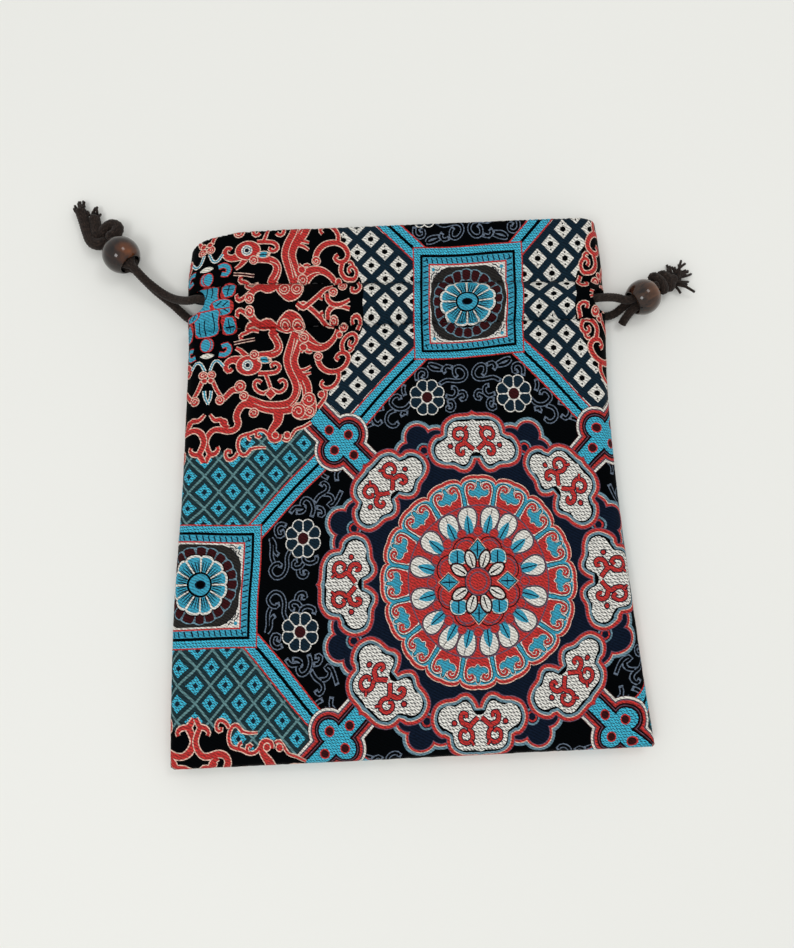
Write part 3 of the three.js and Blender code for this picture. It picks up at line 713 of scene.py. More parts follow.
def clothBorder(rows):
    # the cut edge of the flat cloth, turning left all the way round
    q = rows["q"]

    def limits(place):
        y, lift, depth, drop, left, right, edge = rowState(rows, np.array([place]))
        return left[0] + clothShape["roll"] - edge[0], right[0] - clothShape["roll"] + edge[0]

    def sideRun(side):
        slit = slits[0] if side < 0 else slits[1]
        pick = 0 if side < 0 else 1

        def seamRun(fromQ, toQ, count):
            return [(limits(place)[pick], place) for place in np.linspace(fromQ, toQ, count)]

        radius = (slit["high"] - slit["low"]) / 2
        centre = slit["inner"] + side * radius
        notch = [(centre + side * out, slit["low"]) for out in slitLips]
        for turn in np.linspace(-90, 90, 13):
            turn = math.radians(turn)
            notch.append((centre - side * radius * math.cos(turn),
                          slit["low"] + radius + radius * math.sin(turn)))
        notch += [(centre + side * out, slit["high"]) for out in slitLips[::-1]]
        notch = [toFlat(rows, np.array(x), np.array(at)) for x, at in notch]
        lowQ, highQ, foldQ = notch[0][1], notch[-1][1], q[rows["topAt"]]
        hemLow, hemHigh = slit["hemRows"]
        hemY = rows["y"][rows["hemAt"]:][::-1]
        hemQ = q[rows["hemAt"]:][::-1]
        hemFrom = float(np.interp(hemHigh, hemY, hemQ))
        hemTo = float(np.interp(hemLow, hemY, hemQ))
        hemEdge = [hemFrom, *np.linspace(hemFrom + 1, hemTo - 1, 8), hemTo]
        edge = seamRun(q[0], lowQ - 0.8, 90) + seamRun(lowQ, lowQ, 1) + notch + seamRun(highQ, highQ, 1)
        edge += seamRun(highQ + 0.8, foldQ, 18) + seamRun(foldQ + 0.3, hemFrom - 0.5, 18)
        edge += seamRun(hemFrom, hemFrom, 1) + [(slit["hemX"], place) for place in hemEdge]
        return edge + seamRun(hemTo, hemTo, 1) + seamRun(hemTo + 0.5, q[-1], 3)

    right = sideRun(1)
    left = sideRun(-1)
    bottom = [(p, q[0]) for p in np.linspace(left[0][0], right[0][0], 90)[1:-1]]
    hemEnd = [(p, q[-1]) for p in np.linspace(right[-1][0], left[-1][0], 60)[1:-1]]
    return np.array(bottom + right + hemEnd + left[::-1])


def insideBorder(border, points):
    inside = np.zeros(len(points), bool)
    for (ax, ay), (bx, by) in zip(border, np.roll(border, -1, axis=0)):
        if ay == by:
            continue
        crosses = (ay > points[:, 1]) != (by > points[:, 1])
        reach = ax + (points[:, 1] - ay) * (bx - ax) / (by - ay)
        inside ^= crosses & (points[:, 0] < reach)
    return inside


def clothGrid(rows, border, fine):
    # points of the flat cloth where the mesh has to follow its shape
    q = rows["q"]
    stitchQ = [float(np.interp(clothShape[name], rows["y"][:rows["topAt"]], q[:rows["topAt"]]))
               for name in ("lowerStitch", "upperStitch")]
    hemStart, foldStart = q[rows["hemAt"]], q[rows["topAt"]]
    rollEnd = q[clothMesh["rollSteps"]]
    # start, end and step of each run of rows, finest in the casing and the fold of the hem
    runs = [(q[0], rollEnd, 1.3), (rollEnd, stitchQ[0] - 8, 1.8), (stitchQ[0] - 8, stitchQ[0] - 2, 1.0),
            (stitchQ[0] - 2, stitchQ[1] + 2, 0.55), (stitchQ[1] + 2, foldStart, 1.4),
            (foldStart, hemStart, 0.35), (hemStart, q[-1], 1.6)]
    places = []
    for start, end, step in runs:
        places += list(np.linspace(start, end, max(2, round((end - start) / step / fine) + 1))[:-1])
    points = []
    for k, place in enumerate(places[1:]):
        y, lift, depth, drop, left, right, edge = (value[0] for value in rowState(rows, np.array([place])))
        inLeft, inRight = left + clothShape["roll"], right - clothShape["roll"]
        step = 1.0 if abs(place - sum(stitchQ) / 2) < 12 else 1.8
        count = max(2, round((inRight - inLeft) / step / fine))
        shift = 0.5 * (k % 2)
        points += [(inLeft + (inRight - inLeft) * (n + shift) / count, place) for n in range(count)]
        points += [(inLeft - edge * n / 8, place) for n in range(1, 8)]
        points += [(inRight + edge * n / 8, place) for n in range(0, 8)]
    points = np.array(points)
    points = points[insideBorder(border, points)]
    gap = points[:, None] - border[None]
    return points[np.min(np.hypot(gap[..., 0], gap[..., 1]), axis=1) > clothMesh["fromBorder"]]


def ringArea(corners):
    x, y = corners[:, 0], corners[:, 1]
    return 0.5 * np.sum(x * np.roll(y, -1) - y * np.roll(x, -1))


def splitEdges(corners, step):
    # extra corners, so that long edges follow the cloth
    after = np.roll(corners, -1, axis=0)
    longest = np.hypot(*(after - corners).T)
    parts = []
    for a, b, size in zip(corners, after, longest):
        count = max(1, math.ceil(size / step))
        parts.append(a + (b - a) * (np.arange(count) / count)[:, None])
    return np.vstack(parts)


def meetingLines(flat, triangles, yarn):
    # only the lines where two yarns meet, without the points that a straight run doesn't need
    sides = np.sort(np.vstack([triangles[:, [0, 1]], triangles[:, [1, 2]], triangles[:, [2, 0]]]), axis=1)
    owner = np.tile(yarn, 3)
    order = np.lexsort((sides[:, 1], sides[:, 0]))
    sides, owner = sides[order], owner[order]
    meets = (sides[1:] == sides[:-1]).all(axis=1) & (owner[1:] != owner[:-1])
    beside = {}
    for a, b in sides[:-1][meets].tolist():
        beside.setdefault(a, set()).add(b)
        beside.setdefault(b, set()).add(a)
    for sweep in range(4):
        held = set()
        for point in list(beside):
            if point in held or len(beside[point]) != 2:
                continue
            a, b = sorted(beside[point])
            (ax, ay), (bx, by), (x, y) = flat[a], flat[b], flat[point]
            chord = math.hypot(bx - ax, by - ay)
            bend = abs((bx - ax) * (y - ay) - (by - ay) * (x - ax)) / max(chord, 1e-9)
            if chord < clothMesh["longest"] and bend < clothMesh["bend"] and b not in beside[a]:
                beside[a] ^= {point, b}
                beside[b] ^= {point, a}
                del beside[point]
                held |= {a, b}
    used = sorted(beside)
    newAt = {old: k for k, old in enumerate(used)}
    return flat[used], [(newAt[a], newAt[b]) for a in used for b in sorted(beside[a]) if a < b]


def cutCloth(points, lines, outlines, gap):
    # triangles inside the first outline, and for each the outlines that it lies in
    made = delaunay_2d_cdt([Vector(point) for point in np.vstack(points)], lines, outlines, 0, gap, True)
    inside = [(tri, source) for tri, source in zip(made[2], made[5]) if 0 in source]
    return np.array(made[0]), [tri for tri, source in inside], [source for tri, source in inside]


def weavePanel(name, rows, figures, node):
    # one mesh for the whole panel: its outer side cut along the edges of the figures, a plain inner side,
    # and a rim between them
    border = splitEdges(clothBorder(rows), clothMesh["edge"])
    points = [border]
    faces = [list(range(len(border)))]
    yarnOf = [0]
    start = len(border)
    low = border.min(axis=0)
    high = np.array([border[:, 0].max(), rows["q"][rows["hemAt"]] + clothMesh["pastHem"]])
    for yarn, corners in figures:
        if (corners.max(axis=0) < low).any() or (corners.min(axis=0) > high).any():
            continue
        if abs(ringArea(corners)) < 1e-3:
            continue
        corners = splitEdges(corners if ringArea(corners) > 0 else corners[::-1], clothMesh["edge"])
        faces.append(list(range(start, start + len(corners))))
        points.append(corners)
        yarnOf.append(yarnNames.index(yarn))
        start += len(corners)
    flat, drawn, sources = cutCloth(points, [], faces, clothMesh["gap"])
    drawnYarn = [yarnOf[max(source)] for source in sources]
    drawing = BVHTree.FromPolygons([(x, y, 0) for x, y in flat.tolist()], drawn)
    points, lines = meetingLines(flat, np.array(drawn), np.array(drawnYarn))

    start = len(border)
    flat, kept, sources = cutCloth([border, points, clothGrid(rows, border, clothMesh["outerGrid"])],
                                   [(start + a, start + b) for a, b in lines], [list(range(start))],
                                   clothMesh["gap"])
    used = sorted({corner for tri in kept for corner in tri})
    newAt = {old: k for k, old in enumerate(used)}
    place = flat[used]
    triangles = np.array([[newAt[corner] for corner in tri] for tri in kept])
    yarn = np.array([drawnYarn[drawing.find_nearest((x, y, 0))[2]] for x, y in place[triangles].mean(axis=1)])
    lift = np.array([yarns[label]["lift"] for label in yarnNames])[yarn]
    total = np.zeros(len(place))
    count = np.zeros(len(place))
    for corner in range(3):
        np.add.at(total, triangles[:, corner], lift)
        np.add.at(count, triangles[:, corner], 1)
    relief = total / count
    middle, normal = panelSurface(rows, place[:, 0], place[:, 1])
    outer = middle + normal * (clothShape["wall"] / 2 + relief)[:, None]

    ahead = {}
    pairs = {(int(tri[k]), int(tri[(k + 1) % 3])) for tri in triangles for k in range(3)}
    for a, b in pairs:
        if (b, a) not in pairs:
            ahead[a] = b
    loop = [min(ahead)]
    while ahead[loop[-1]] != loop[0]:
        loop.append(ahead[loop[-1]])
    coarse = clothGrid(rows, border, clothMesh["innerGrid"])
    inPlace, inTriangles, sources = cutCloth([place[loop], coarse], [], [list(range(len(loop)))],
                                             clothMesh["innerGap"])
    inMiddle, inNormal = panelSurface(rows, inPlace[:, 0], inPlace[:, 1])
    inner = inMiddle - inNormal * clothShape["inside"]

    offset = len(outer)
    verts = np.vstack([outer, inner]) * mm
    flats = np.vstack([place, inPlace])
    inwards = np.array(inTriangles)[:, ::-1] + offset
    rim = []
    for k, a in enumerate(loop):
        b, c = loop[(k + 1) % len(loop)], (k + 1) % len(loop)
        rim += [(a, offset + k, offset + c), (a, offset + c, b)]
    allFaces = np.vstack([triangles, inwards, np.array(rim)])
    if not rows["isFront"]:
        allFaces = allFaces[:, ::-1]
    mesh = bpy.data.meshes.new(name)
    mesh.from_pydata(verts.tolist(), [], allFaces.tolist())
    slots = np.concatenate([yarn, np.full(len(inwards), len(yarnNames)), np.zeros(len(rim), int)])
    slots = slots.astype(np.int32)
    mesh.polygons.foreach_set("material_index", slots)
    mesh.polygons.foreach_set("use_smooth", np.ones(len(allFaces), bool))
    uv = mesh.uv_layers.new(name="clothFlat")
    uv.data.foreach_set("uv", (flats[allFaces.ravel()] * weave["uvPerMm"]).ravel())
    bm = bmesh.new()
    bm.from_mesh(mesh)
    bpy.data.meshes.remove(mesh)
    print(name, "woven from", len(figures), "figures,", len(allFaces), "triangles")
    materials = [yarnMaterials[label] for label in yarnNames] + [reverseYarn]
    return finishPiece(name, bm, materials, [node])


# brocade: yarns, as colours on the screen from 0 to 255, and how far their floats stand up in millimetres

yarns = {
    "black": dict(ink=(2, 4, 6), lift=0.0, dash=0.0, shine=0.012),
    "navy": dict(ink=(12, 24, 42), lift=0.02, dash=0.0, shine=0.03),
    "red": dict(ink=(200, 46, 42), lift=0.10, dash=0.5, shine=0.18),
    "cyan": dict(ink=(46, 158, 188), lift=0.10, dash=0.0, shine=0.25),
    "cyanDot": dict(ink=(60, 190, 222), lift=0.08, dash=1.0, shine=0.2, fine=1.2),
    "cream": dict(ink=(228, 226, 214), lift=0.10, dash=0.0, shine=0.25),
    "creamDash": dict(ink=(238, 237, 230), lift=0.10, dash=1.0, shine=0.25),
    "maroon": dict(ink=(56, 14, 18), lift=0.04, dash=0.0, shine=0.05),
    "steel": dict(ink=(104, 140, 156), lift=0.06, dash=0.0, shine=0.2),
    "white": dict(ink=(232, 230, 222), lift=0.11, dash=0.25, shine=0.25),
    "pink": dict(ink=(232, 196, 178), lift=0.08, dash=0.0, shine=0.2),
    "teal": dict(ink=(14, 36, 50), lift=0.02, dash=0.0, shine=0.05),
    "moss": dict(ink=(28, 52, 58), lift=0.02, dash=0.0, shine=0.05),
    "plum": dict(ink=(104, 78, 98), lift=0.04, dash=0.0, shine=0.15),
    "slate": dict(ink=(96, 138, 142), lift=0.03, dash=0.0, shine=0.15),
    "olive": dict(ink=(42, 40, 38), lift=0.02, dash=0.35, shine=0.05),
    "mist": dict(ink=(100, 114, 132), lift=0.04, dash=0.0, shine=0.15),
}
yarnNames = list(yarns)

reverseLook = dict(ink=(58, 52, 54), dash=0.5, shine=0.1, rough=0.8)
weave = dict(uvPerMm=0.01, dashPitch=1.0, dashLong=0.36, dashWide=0.13, dashSoft=0.06, dashSlope=0.6,
             darkDash=(12, 18, 26), ribPitch=0.42, ribRelief=0.25, ribHeight=0.00008, floatPitch=0.92,
             floatSlope=0.55, floatDepth=0.55, slubs=(0.5, 3.2, 1.0), grain=2.6, shade=(0.62, 1.30))


def fromScreen(red, green, blue):
    parts = [value / 255 for value in (red, green, blue)]
    return tuple(part / 12.92 if part < 0.04045 else ((part + 0.055) / 1.055) ** 2.4 for part in parts) + (1,)


def makeWeave():
    # slanting dashes in staggered rows, thread ribs, and the unevenness of worn silk
    group, given, result = newGroup(
        "brocadeWeave", [("Flat", "NodeSocketVector")],
        [("Dash", "NodeSocketFloat"), ("Rib", "NodeSocketFloat"), ("Shade", "NodeSocketFloat")])

    def count(operation, first, second=0.0):
        return addMath(group, operation, first, second)

    place = addNode(group, "ShaderNodeVectorMath", {"operation": "SCALE"}, Scale=1 / weave["uvPerMm"],
                    Vector=given["Flat"]).outputs[0]
    parts = addNode(group, "ShaderNodeSeparateXYZ", Vector=place).outputs
    across, up = parts["X"], parts["Y"]
    row = count("DIVIDE", up, weave["dashPitch"])
    stagger = count("MULTIPLY", count("FLOOR", row), 0.5)
    column = count("ADD", count("DIVIDE", across, weave["dashPitch"]), stagger)
    along = count("SUBTRACT", count("FRACT", column), 0.5)
    aside = count("SUBTRACT", count("FRACT", row), 0.5)
    slant = count("ADD", aside, count("MULTIPLY", along, weave["dashSlope"]))
    inside = [addRamp(group, count("ABSOLUTE", gap), weave[size] + weave["dashSoft"], weave[size])
              for gap, size in ((along, "dashLong"), (slant, "dashWide"))]
    group.links.new(count("MULTIPLY", *inside), result["Dash"])
    ribTurn = 2 * math.pi / weave["ribPitch"]
    ribs = count("SINE", count("MULTIPLY", up, ribTurn))
    warp = count("SINE", count("MULTIPLY", across, ribTurn * 0.8))
    group.links.new(count("MULTIPLY", ribs, count("ADD", warp, 1.6)), result["Rib"])
    long = addNode(group, "ShaderNodeMapping", Vector=place, Scale=weave["slubs"]).outputs["Vector"]
    slub = addNode(group, "ShaderNodeTexNoise", Vector=long, Scale=1.0, Detail=4.0).outputs["Fac"]
    grain = addNode(group, "ShaderNodeTexNoise", Vector=place, Scale=weave["grain"], Detail=3.0)
    uneven = count("ADD", slub, grain.outputs["Fac"])
    shade = addNode(group, "ShaderNodeMapRange", Value=uneven, From_Min=0.72, From_Max=1.28,
                    To_Min=weave["shade"][0], To_Max=weave["shade"][1]).outputs[0]
    run = count("ADD", count("MULTIPLY", across, weave["floatSlope"]), count("ADD", up, slub))
    wave = count("SINE", count("MULTIPLY", run, 2 * math.pi / weave["floatPitch"]))
    between = count("MULTIPLY", addRamp(group, wave, 0.1, 0.9), weave["floatDepth"])
    group.links.new(count("MULTIPLY", shade, count("SUBTRACT", 1.0, between)), result["Shade"])
    return group


brocadeWeave = makeWeave()


def makeYarn(name, ink, dash, shine, fine=1.0, rough=0.55):
    material, tree, shader = newMaterial(name)
    flat = addNode(tree, "ShaderNodeUVMap", {"uv_map": "clothFlat"}).outputs["UV"]
    flat = addNode(tree, "ShaderNodeVectorMath", {"operation": "SCALE"}, Scale=fine, Vector=flat).outputs[0]
    woven = addNode(tree, "ShaderNodeGroup", {"node_tree": brocadeWeave}, Flat=flat).outputs
    dark = fromScreen(*weave["darkDash"])
    colour = addMix(tree, addMath(tree, "MULTIPLY", woven["Dash"], dash), fromScreen(*ink), dark)
    tinted = addNode(tree, "ShaderNodeVectorMath", {"operation": "SCALE"}, Vector=colour,
                     Scale=woven["Shade"])
    bump = addNode(tree, "ShaderNodeBump", Strength=weave["ribRelief"], Distance=weave["ribHeight"],
                   Height=woven["Rib"])
    feedAll(tree, shader, dict(Base_Color=tinted.outputs[0], Normal=bump.outputs["Normal"], Roughness=rough,
                               Specular_IOR_Level=shine))
    return material


yarnMaterials = {}
for name, look in yarns.items():
    yarnMaterials[name] = makeYarn(name + "Yarn", look["ink"], look["dash"], look["shine"],
                                   look.get("fine", 1.0))
reverseYarn = makeYarn("reverseSide", **reverseLook)
print("yarns dyed")


# brocade: how figures are drawn, on a flat chart in millimetres

def disc(yarn, centre, across, tall=None, steps=28, turn=0.0):
    angle = np.arange(steps) * 2 * math.pi / steps
    x, y = across * np.cos(angle), (tall or across) * np.sin(angle)
    c, s = math.cos(math.radians(turn)), math.sin(math.radians(turn))
    return [(yarn, np.stack([centre[0] + c * x - s * y, centre[1] + s * x + c * y], axis=1))]


def patch(yarn, points):
    return [(yarn, np.array(points, float))]


def smoothPatch(yarn, points, step=1.2):
    # a closed figure with soft corners
    points = list(points)
    closed = evenPoints(points[-2:] + points + points[:2], step / 4)[0]
    start = np.argmin(np.hypot(*(closed[:len(closed) // 3] - points[0]).T))
    end = len(closed) // 2 + np.argmin(np.hypot(*(closed[len(closed) // 2:] - points[0]).T))
    return [(yarn, closed[start:end:4])]


def strip(yarn, points, width, step=0.9):
    # a line of one width, or of widths spread along it
    line = evenPoints(points, step)[0]
    wide = np.interp(np.linspace(0, 1, len(line)), np.linspace(0, 1, np.size(width)), np.atleast_1d(width))
    ahead = np.gradient(line, axis=0)
    ahead /= np.maximum(np.hypot(*ahead.T), 1e-9)[:, None]
    aside = np.stack([-ahead[:, 1], ahead[:, 0]], axis=1) * wide[:, None] / 2
    left, right = line + aside, line - aside
    figures = []
    for k in range(len(line) - 1):
        first = np.array([right[k], right[k + 1], left[k + 1]])
        second = np.array([right[k], left[k + 1], left[k]])
        if ringArea(first) > 0 and ringArea(second) > 0:
            figures.append((yarn, np.array([right[k], right[k + 1], left[k + 1], left[k]])))
        else:
            figures += [(yarn, first), (yarn, second)]
    return figures


def outlined(yarn, edge, points, width, rim, step=0.9):
    return strip(edge, points, np.atleast_1d(width) + 2 * rim, step) + strip(yarn, points, width, step)


def ringed(yarn, inside, centre, radius, width, steps=18):
    return disc(yarn, centre, radius, steps=steps) + disc(inside, centre, radius - width, steps=steps)


def placed(figures, turn=0.0, move=(0, 0), flip=(1, 1)):
    c, s = math.cos(math.radians(turn)), math.sin(math.radians(turn))
    turning = np.array([[c, s], [-s, c]])
    return [(yarn, (corners * flip) @ turning + move) for yarn, corners in figures]


def bothSides(figures):
    return figures + placed(figures, flip=(-1, 1))


quarters = ((1, 1), (-1, 1), (-1, -1), (1, -1))


def inQuarters(figures):
    return [figure for flip in quarters for figure in placed(figures, flip=flip)]


def around(figures, turns):
    return [figure for turn in turns for figure in placed(figures, turn)]


def evenTurns(count, first=0):
    return [first + 360 / count * k for k in range(count)]


def wholeOf(half):
    # an outline that is the same on both sides of x = 0, from its right half
    return half + [(-x, y) for x, y in half[::-1] if x]


def scalloped(yarn, angle, radius):
    return [(yarn, np.stack([np.cos(angle), np.sin(angle)], axis=1) * radius[:, None])]


def inset(corners, depth):
    # the same outline, further in, without the places where it would cross itself
    ahead = np.roll(corners, -1, axis=0) - np.roll(corners, 1, axis=0)
    ahead /= np.maximum(np.hypot(*ahead.T), 1e-9)[:, None]
    inwards = np.stack([-ahead[:, 1], ahead[:, 0]], axis=1) * (1 if ringArea(corners) > 0 else -1)
    moved = corners + inwards * depth
    fine = splitEdges(corners, 0.15)
    gap = np.min(np.hypot(*(moved[:, None] - fine[None]).transpose(2, 0, 1)), axis=1)
    return moved[gap > 0.96 * depth]


# brocade: the figures

def medallion():
    figures = []
    angle = np.radians(np.arange(0, 360, 1.125))
    bumps = 27.5 + 1.35 * np.abs(np.cos(8 * angle)) ** 0.45 + 0.3 * np.abs(np.sin(16 * angle)) ** 0.7
    for yarn, grow in (("pink", 0.55), ("red", 0.3), ("pink", -0.55), ("cyan", -0.85)):
        figures += scalloped(yarn, angle, bumps + grow)
    half = [(0.3, 26.3), (0.9, 27.1), (2.1, 27.5), (3.4, 27.2), (4.2, 26.2), (4.3, 24.9), (4.0, 23.4),
            (3.6, 22.0), (3.3, 20.9), (0, 20.5)]
    heart = smoothPatch("white", wholeOf(half), 0.6)[0][1]
    cell = [("black", inset(heart, -0.25)), ("white", heart), ("red", inset(heart, 0.26))]
    half = [(0, 22.7), (0.8, 23.5), (1.8, 23.4), (2.8, 23.9), (3.1, 24.8), (2.5, 25.4), (1.7, 25.1),
            (1.1, 25.6), (0.6, 26.2), (0.5, 27.6), (0, 27.7)]
    crown = smoothPatch("black", wholeOf(half), 0.5)[0][1]
    cell += [("white", inset(crown, -0.2)), ("black", crown), ("cyan", inset(crown, 0.16))]
    curl = [(3.6, 24.9), (3.5, 26.2), (2.6, 26.9), (1.6, 26.5), (1.5, 25.7), (2.2, 25.6)]
    for yarn, width in (("white", 1.05), ("black", 0.72), ("red", 0.55)):
        cell += bothSides(strip(yarn, curl, width, 0.5))
    figures += around(cell, evenTurns(16))
    figures += disc("plum", (0, 0), 21.2, steps=96) + disc("red", (0, 0), 20.8, steps=96)
    half = [(0, 20.6), (1.3, 20.4), (2.4, 19.3), (2.65, 17.6), (2.1, 15.6), (1.2, 14.0), (0, 13.5)]
    petal = smoothPatch("white", wholeOf(half), 0.8)[0][1]
    petals = [("plum", inset(petal, -0.5)), ("black", inset(petal, -0.2)), ("white", petal)]
    half = [(0, 18.6), (0.9, 17.2), (1.35, 15.6), (1.2, 14.2), (0.6, 13.3), (0, 13.1)]
    petals += smoothPatch("cyan", wholeOf(half), 0.8)
    petals += strip("navy", [(0, 13.6), (0, 18.2)], (0.42, 0.3))
    petals += strip("navy", [(0.1, 18.6), (0.2, 20.2)], 0.22)
    for turn in (11, 30, 51.5, 76, 104, 128.5, 150, 169):
        figures += around(petals, (turn, -turn))
    figures += disc("plum", (0, 0), 13.6, steps=72) + disc("red", (0, 0), 13.3, steps=72)
    scallop = disc("plum", (0, 13.9), 1.55, steps=16) + disc("red", (0, 13.9), 1.25, steps=16)
    figures += around(scallop, (0, 20.5, 40.7, 63.7, 90, 116.3, 139.3, 159.5,
                                180, -159.5, -139.3, -116.3, -90, -63.7, -40.7, -20.5))
    arcs = []
    for radius, yarn in ((3.6, "maroon"), (2.6, "plum")):
        arc = [(radius * math.cos(turn), 10.0 + 0.8 * radius * math.sin(turn))
               for turn in np.radians(np.arange(0, 181, 20))]
        arcs += strip(yarn, arc, 0.36, 0.8)
    figures += around(arcs, evenTurns(8, 22.5))
    diamond = patch("pink", [(0, 12.1), (2.8, 8.9), (0, 5.5), (-2.8, 8.9)])
    diamond += patch("black", [(0, 11.8), (2.55, 8.9), (0, 5.8), (-2.55, 8.9)])
    diamond += patch("cyan", [(0, 11.4), (2.25, 8.9), (0, 6.1), (-2.25, 8.9)])
    diamond += strip("navy", [(0, 6.8), (0, 10.8)], (0.3, 0.5, 0.3))
    diamond += strip("navy", [(-1.3, 8.7), (1.3, 8.7)], 0.25)
    figures += around(diamond, evenTurns(4))
    block = smoothPatch("black", [(3.5, 4.9), (8.2, 4.7), (8.9, 6.3), (8.3, 8.4), (6.2, 9.3), (4.1, 8.7),
                                  (3.4, 7.0)], 0.7)
    outline = block[0][1]
    block += [("white", inset(outline, 0.22)), ("cyan", inset(outline, 0.5))]
    block += strip("navy", [(6.0, 5.3), (6.1, 8.5)], 0.42)
    figures += inQuarters(block)
    half = [(0, 9.2), (1.2, 8.0), (1.55, 6.4), (1.1, 4.8), (0, 3.4)]
    outline = smoothPatch("black", wholeOf(half), 0.7)[0][1]
    leaf = [("maroon", inset(outline, -0.35)), ("black", outline), ("white", inset(outline, 0.2))]
    leaf += strip("black", [(0, 4.4), (0.1, 6.4), (0, 8.0)], (0.5, 0.36, 0.25))
    figures += around(leaf, (19, 60, 120, 161, -19, -60, -120, -161))
    for yarn, radius in (("black", 4.1), ("plum", 3.9), ("red", 3.55), ("plum", 2.75), ("red", 2.35)):
        figures += disc(yarn, (0, 0), radius, steps=32)
    return figures


def cloud():
    half = [(0, 9.5), (0.9, 8.8), (2.7, 8.7), (5.5, 8.5), (7.9, 7.3), (9.3, 5.7), (9.8, 3.9), (9.9, 2.7),
            (11.5, 2.6), (13.3, 1.0), (14.3, -1.6), (13.9, -4.2), (12.6, -6.2), (10.1, -7.3), (7.1, -7.6),
            (5.4, -8.6), (3.2, -8.8), (1.6, -7.7), (0.6, -6.3), (0, -4.9)]
    outline = smoothPatch("red", wholeOf(half), 0.9)[0][1]
    figures = [("plum", inset(outline, -0.25)), ("red", outline), ("pink", inset(outline, 0.85)),
               ("steel", inset(outline, 1.05)), ("black", inset(outline, 1.75))]
    half = [(0, 6.8), (1.3, 6.3), (3.6, 6.3), (6.0, 6.1), (7.4, 4.6), (7.9, 2.9), (8.1, 1.6), (9.7, 0.6),
            (11.5, -0.5), (12.1, -2.6), (11.1, -4.6), (8.9, -5.7), (7.2, -5.2), (5.7, -6.0), (4.0, -6.5),
            (2.7, -5.8), (2.1, -4.4), (1.2, -3.2), (0, -2.9)]
    figures += smoothPatch("creamDash", wholeOf(half), 0.9)
    scroll = outlined("red", "navy", [(0.5, -2.2), (1.4, -1.5), (2.9, -0.1), (3.2, 0.7), (2.4, 1.8),
                                      (2.5, 3.4), (3.9, 4.3), (5.6, 3.7), (6.0, 2.0), (4.9, 0.9),
                                      (4.0, 1.7)], (1.1, 1.0, 0.75), 0.3, 0.6)
    scroll += outlined("red", "navy", [(1.9, 5.0), (2.9, 3.7)], (0.5, 0.8), 0.28)
    scroll += outlined("red", "navy", [(3.4, -0.3), (5.0, -0.9), (5.6, -2.4), (4.9, -3.6), (3.8, -3.2),
                                       (4.0, -2.2)], (1.2, 1.1, 0.8), 0.3, 0.6)
    scroll += disc("navy", (7.5, -1.0), 0.95, steps=14) + disc("red", (7.5, -1.0), 0.6, steps=12)
    return figures + bothSides(scroll)


def lobe():
    # a navy field with a scalloped edge between two clouds
    figures = []
    for yarn, grow in (("steel", 0.9), ("pink", 0.1), ("red", -0.1), ("plum", -0.65), ("navy", -0.85)):
        for x, y, radius in ((-4.6, 41.0, 4.2), (4.6, 41.0, 4.2), (0, 44.4, 4.2)):
            figures += disc(yarn, (x, y), radius + grow, steps=30)
    figures += ringed("steel", "navy", (0, 40.2), 2.3, 0.5) + ringed("red", "navy", (0, 40.2), 1.5, 0.5)
    return figures


def rosette(flowerAcross, flowerTall):
    def square(yarn, half):
        return patch(yarn, [(-half, -half), (half, -half), (half, half), (-half, half)])

    figures = square("red", 17.5) + square("cyanDot", 17.1) + square("black", 15.2) + square("cyan", 14.4)
    hatch = []
    for place in np.arange(-13.2, 13.3, 1.65):
        hatch += strip("navy", [(place + 0.5, 12.6), (place, 14.2)], 0.36)
    figures += around(hatch, evenTurns(4))
    figures += square("red", 12.5) + square("white", 12.05) + square("olive", 11.6)
    corner = patch("white", [(11.8, 11.8), (5.6, 11.8), (8.6, 10.6), (10.6, 8.6), (11.8, 5.6)])
    corner += outlined("white", "navy", [(11.2, 8.3), (10.2, 9.2), (10.6, 10.3), (9.7, 10.2), (9.2, 11.0),
                                         (8.0, 11.3)], 0.5, 0.3, 0.5)
    corner += disc("cyan", (10.9, 10.9), 0.55, steps=10)
    figures += around(corner, evenTurns(4))
    figures += disc("olive", (0, 0), 12.0, 11.6, steps=60)
    angle = np.radians(np.arange(0, 360, 3))
    for yarn, grow in (("steel", 0.0), ("black", -0.35)):
        figures += scalloped(yarn, angle, 10.6 + 0.45 * np.abs(np.cos(10 * angle)) ** 0.6 + grow)
    cell = patch("steel", [(-1.65, 10.6), (-1.15, 7.6), (1.15, 7.6), (1.65, 10.6), (0, 11.1)])
    cell += smoothPatch("maroon", [(-1.25, 10.4), (-0.95, 7.9), (0.95, 7.9), (1.25, 10.4), (0, 10.75)])
    figures += around(cell, evenTurns(20))
    flower = []
    for yarn, grow in (("black", 0.07), ("white", 0.03), ("cyan", -0.05)):
        edge = 0.90 + 0.09 * np.abs(np.sin(6 * angle)) ** 0.5 + grow
        flower += [(yarn, np.stack([np.sin(angle), np.cos(angle)], axis=1) * edge[:, None])]
    spoke = strip("black", [(0, 0.4), (0, 0.86)], 0.10, 0.2)
    spoke += strip("white", [(0, 0.42), (0, 0.93)], (0.04, 0.055, 0.08), 0.2)
    ribs = around(strip("navy", [(0, 0.45), (0, 0.80)], (0.03, 0.035, 0.02), 0.2), (-7.5, 0, 7.5))
    for turn in evenTurns(12):
        flower += placed(spoke, turn) + placed(ribs, 15 + turn)
    flower += disc("black", (0, 0), 0.43, steps=30) + disc("cyan", (0, 0), 0.36, steps=30)
    flower += disc("navy", (0, 0), 0.20, 0.15, 16) + disc("black", (0, 0), 0.15, 0.11, 16)
    return figures + [(yarn, corners * (flowerAcross, flowerTall)) for yarn, corners in flower]


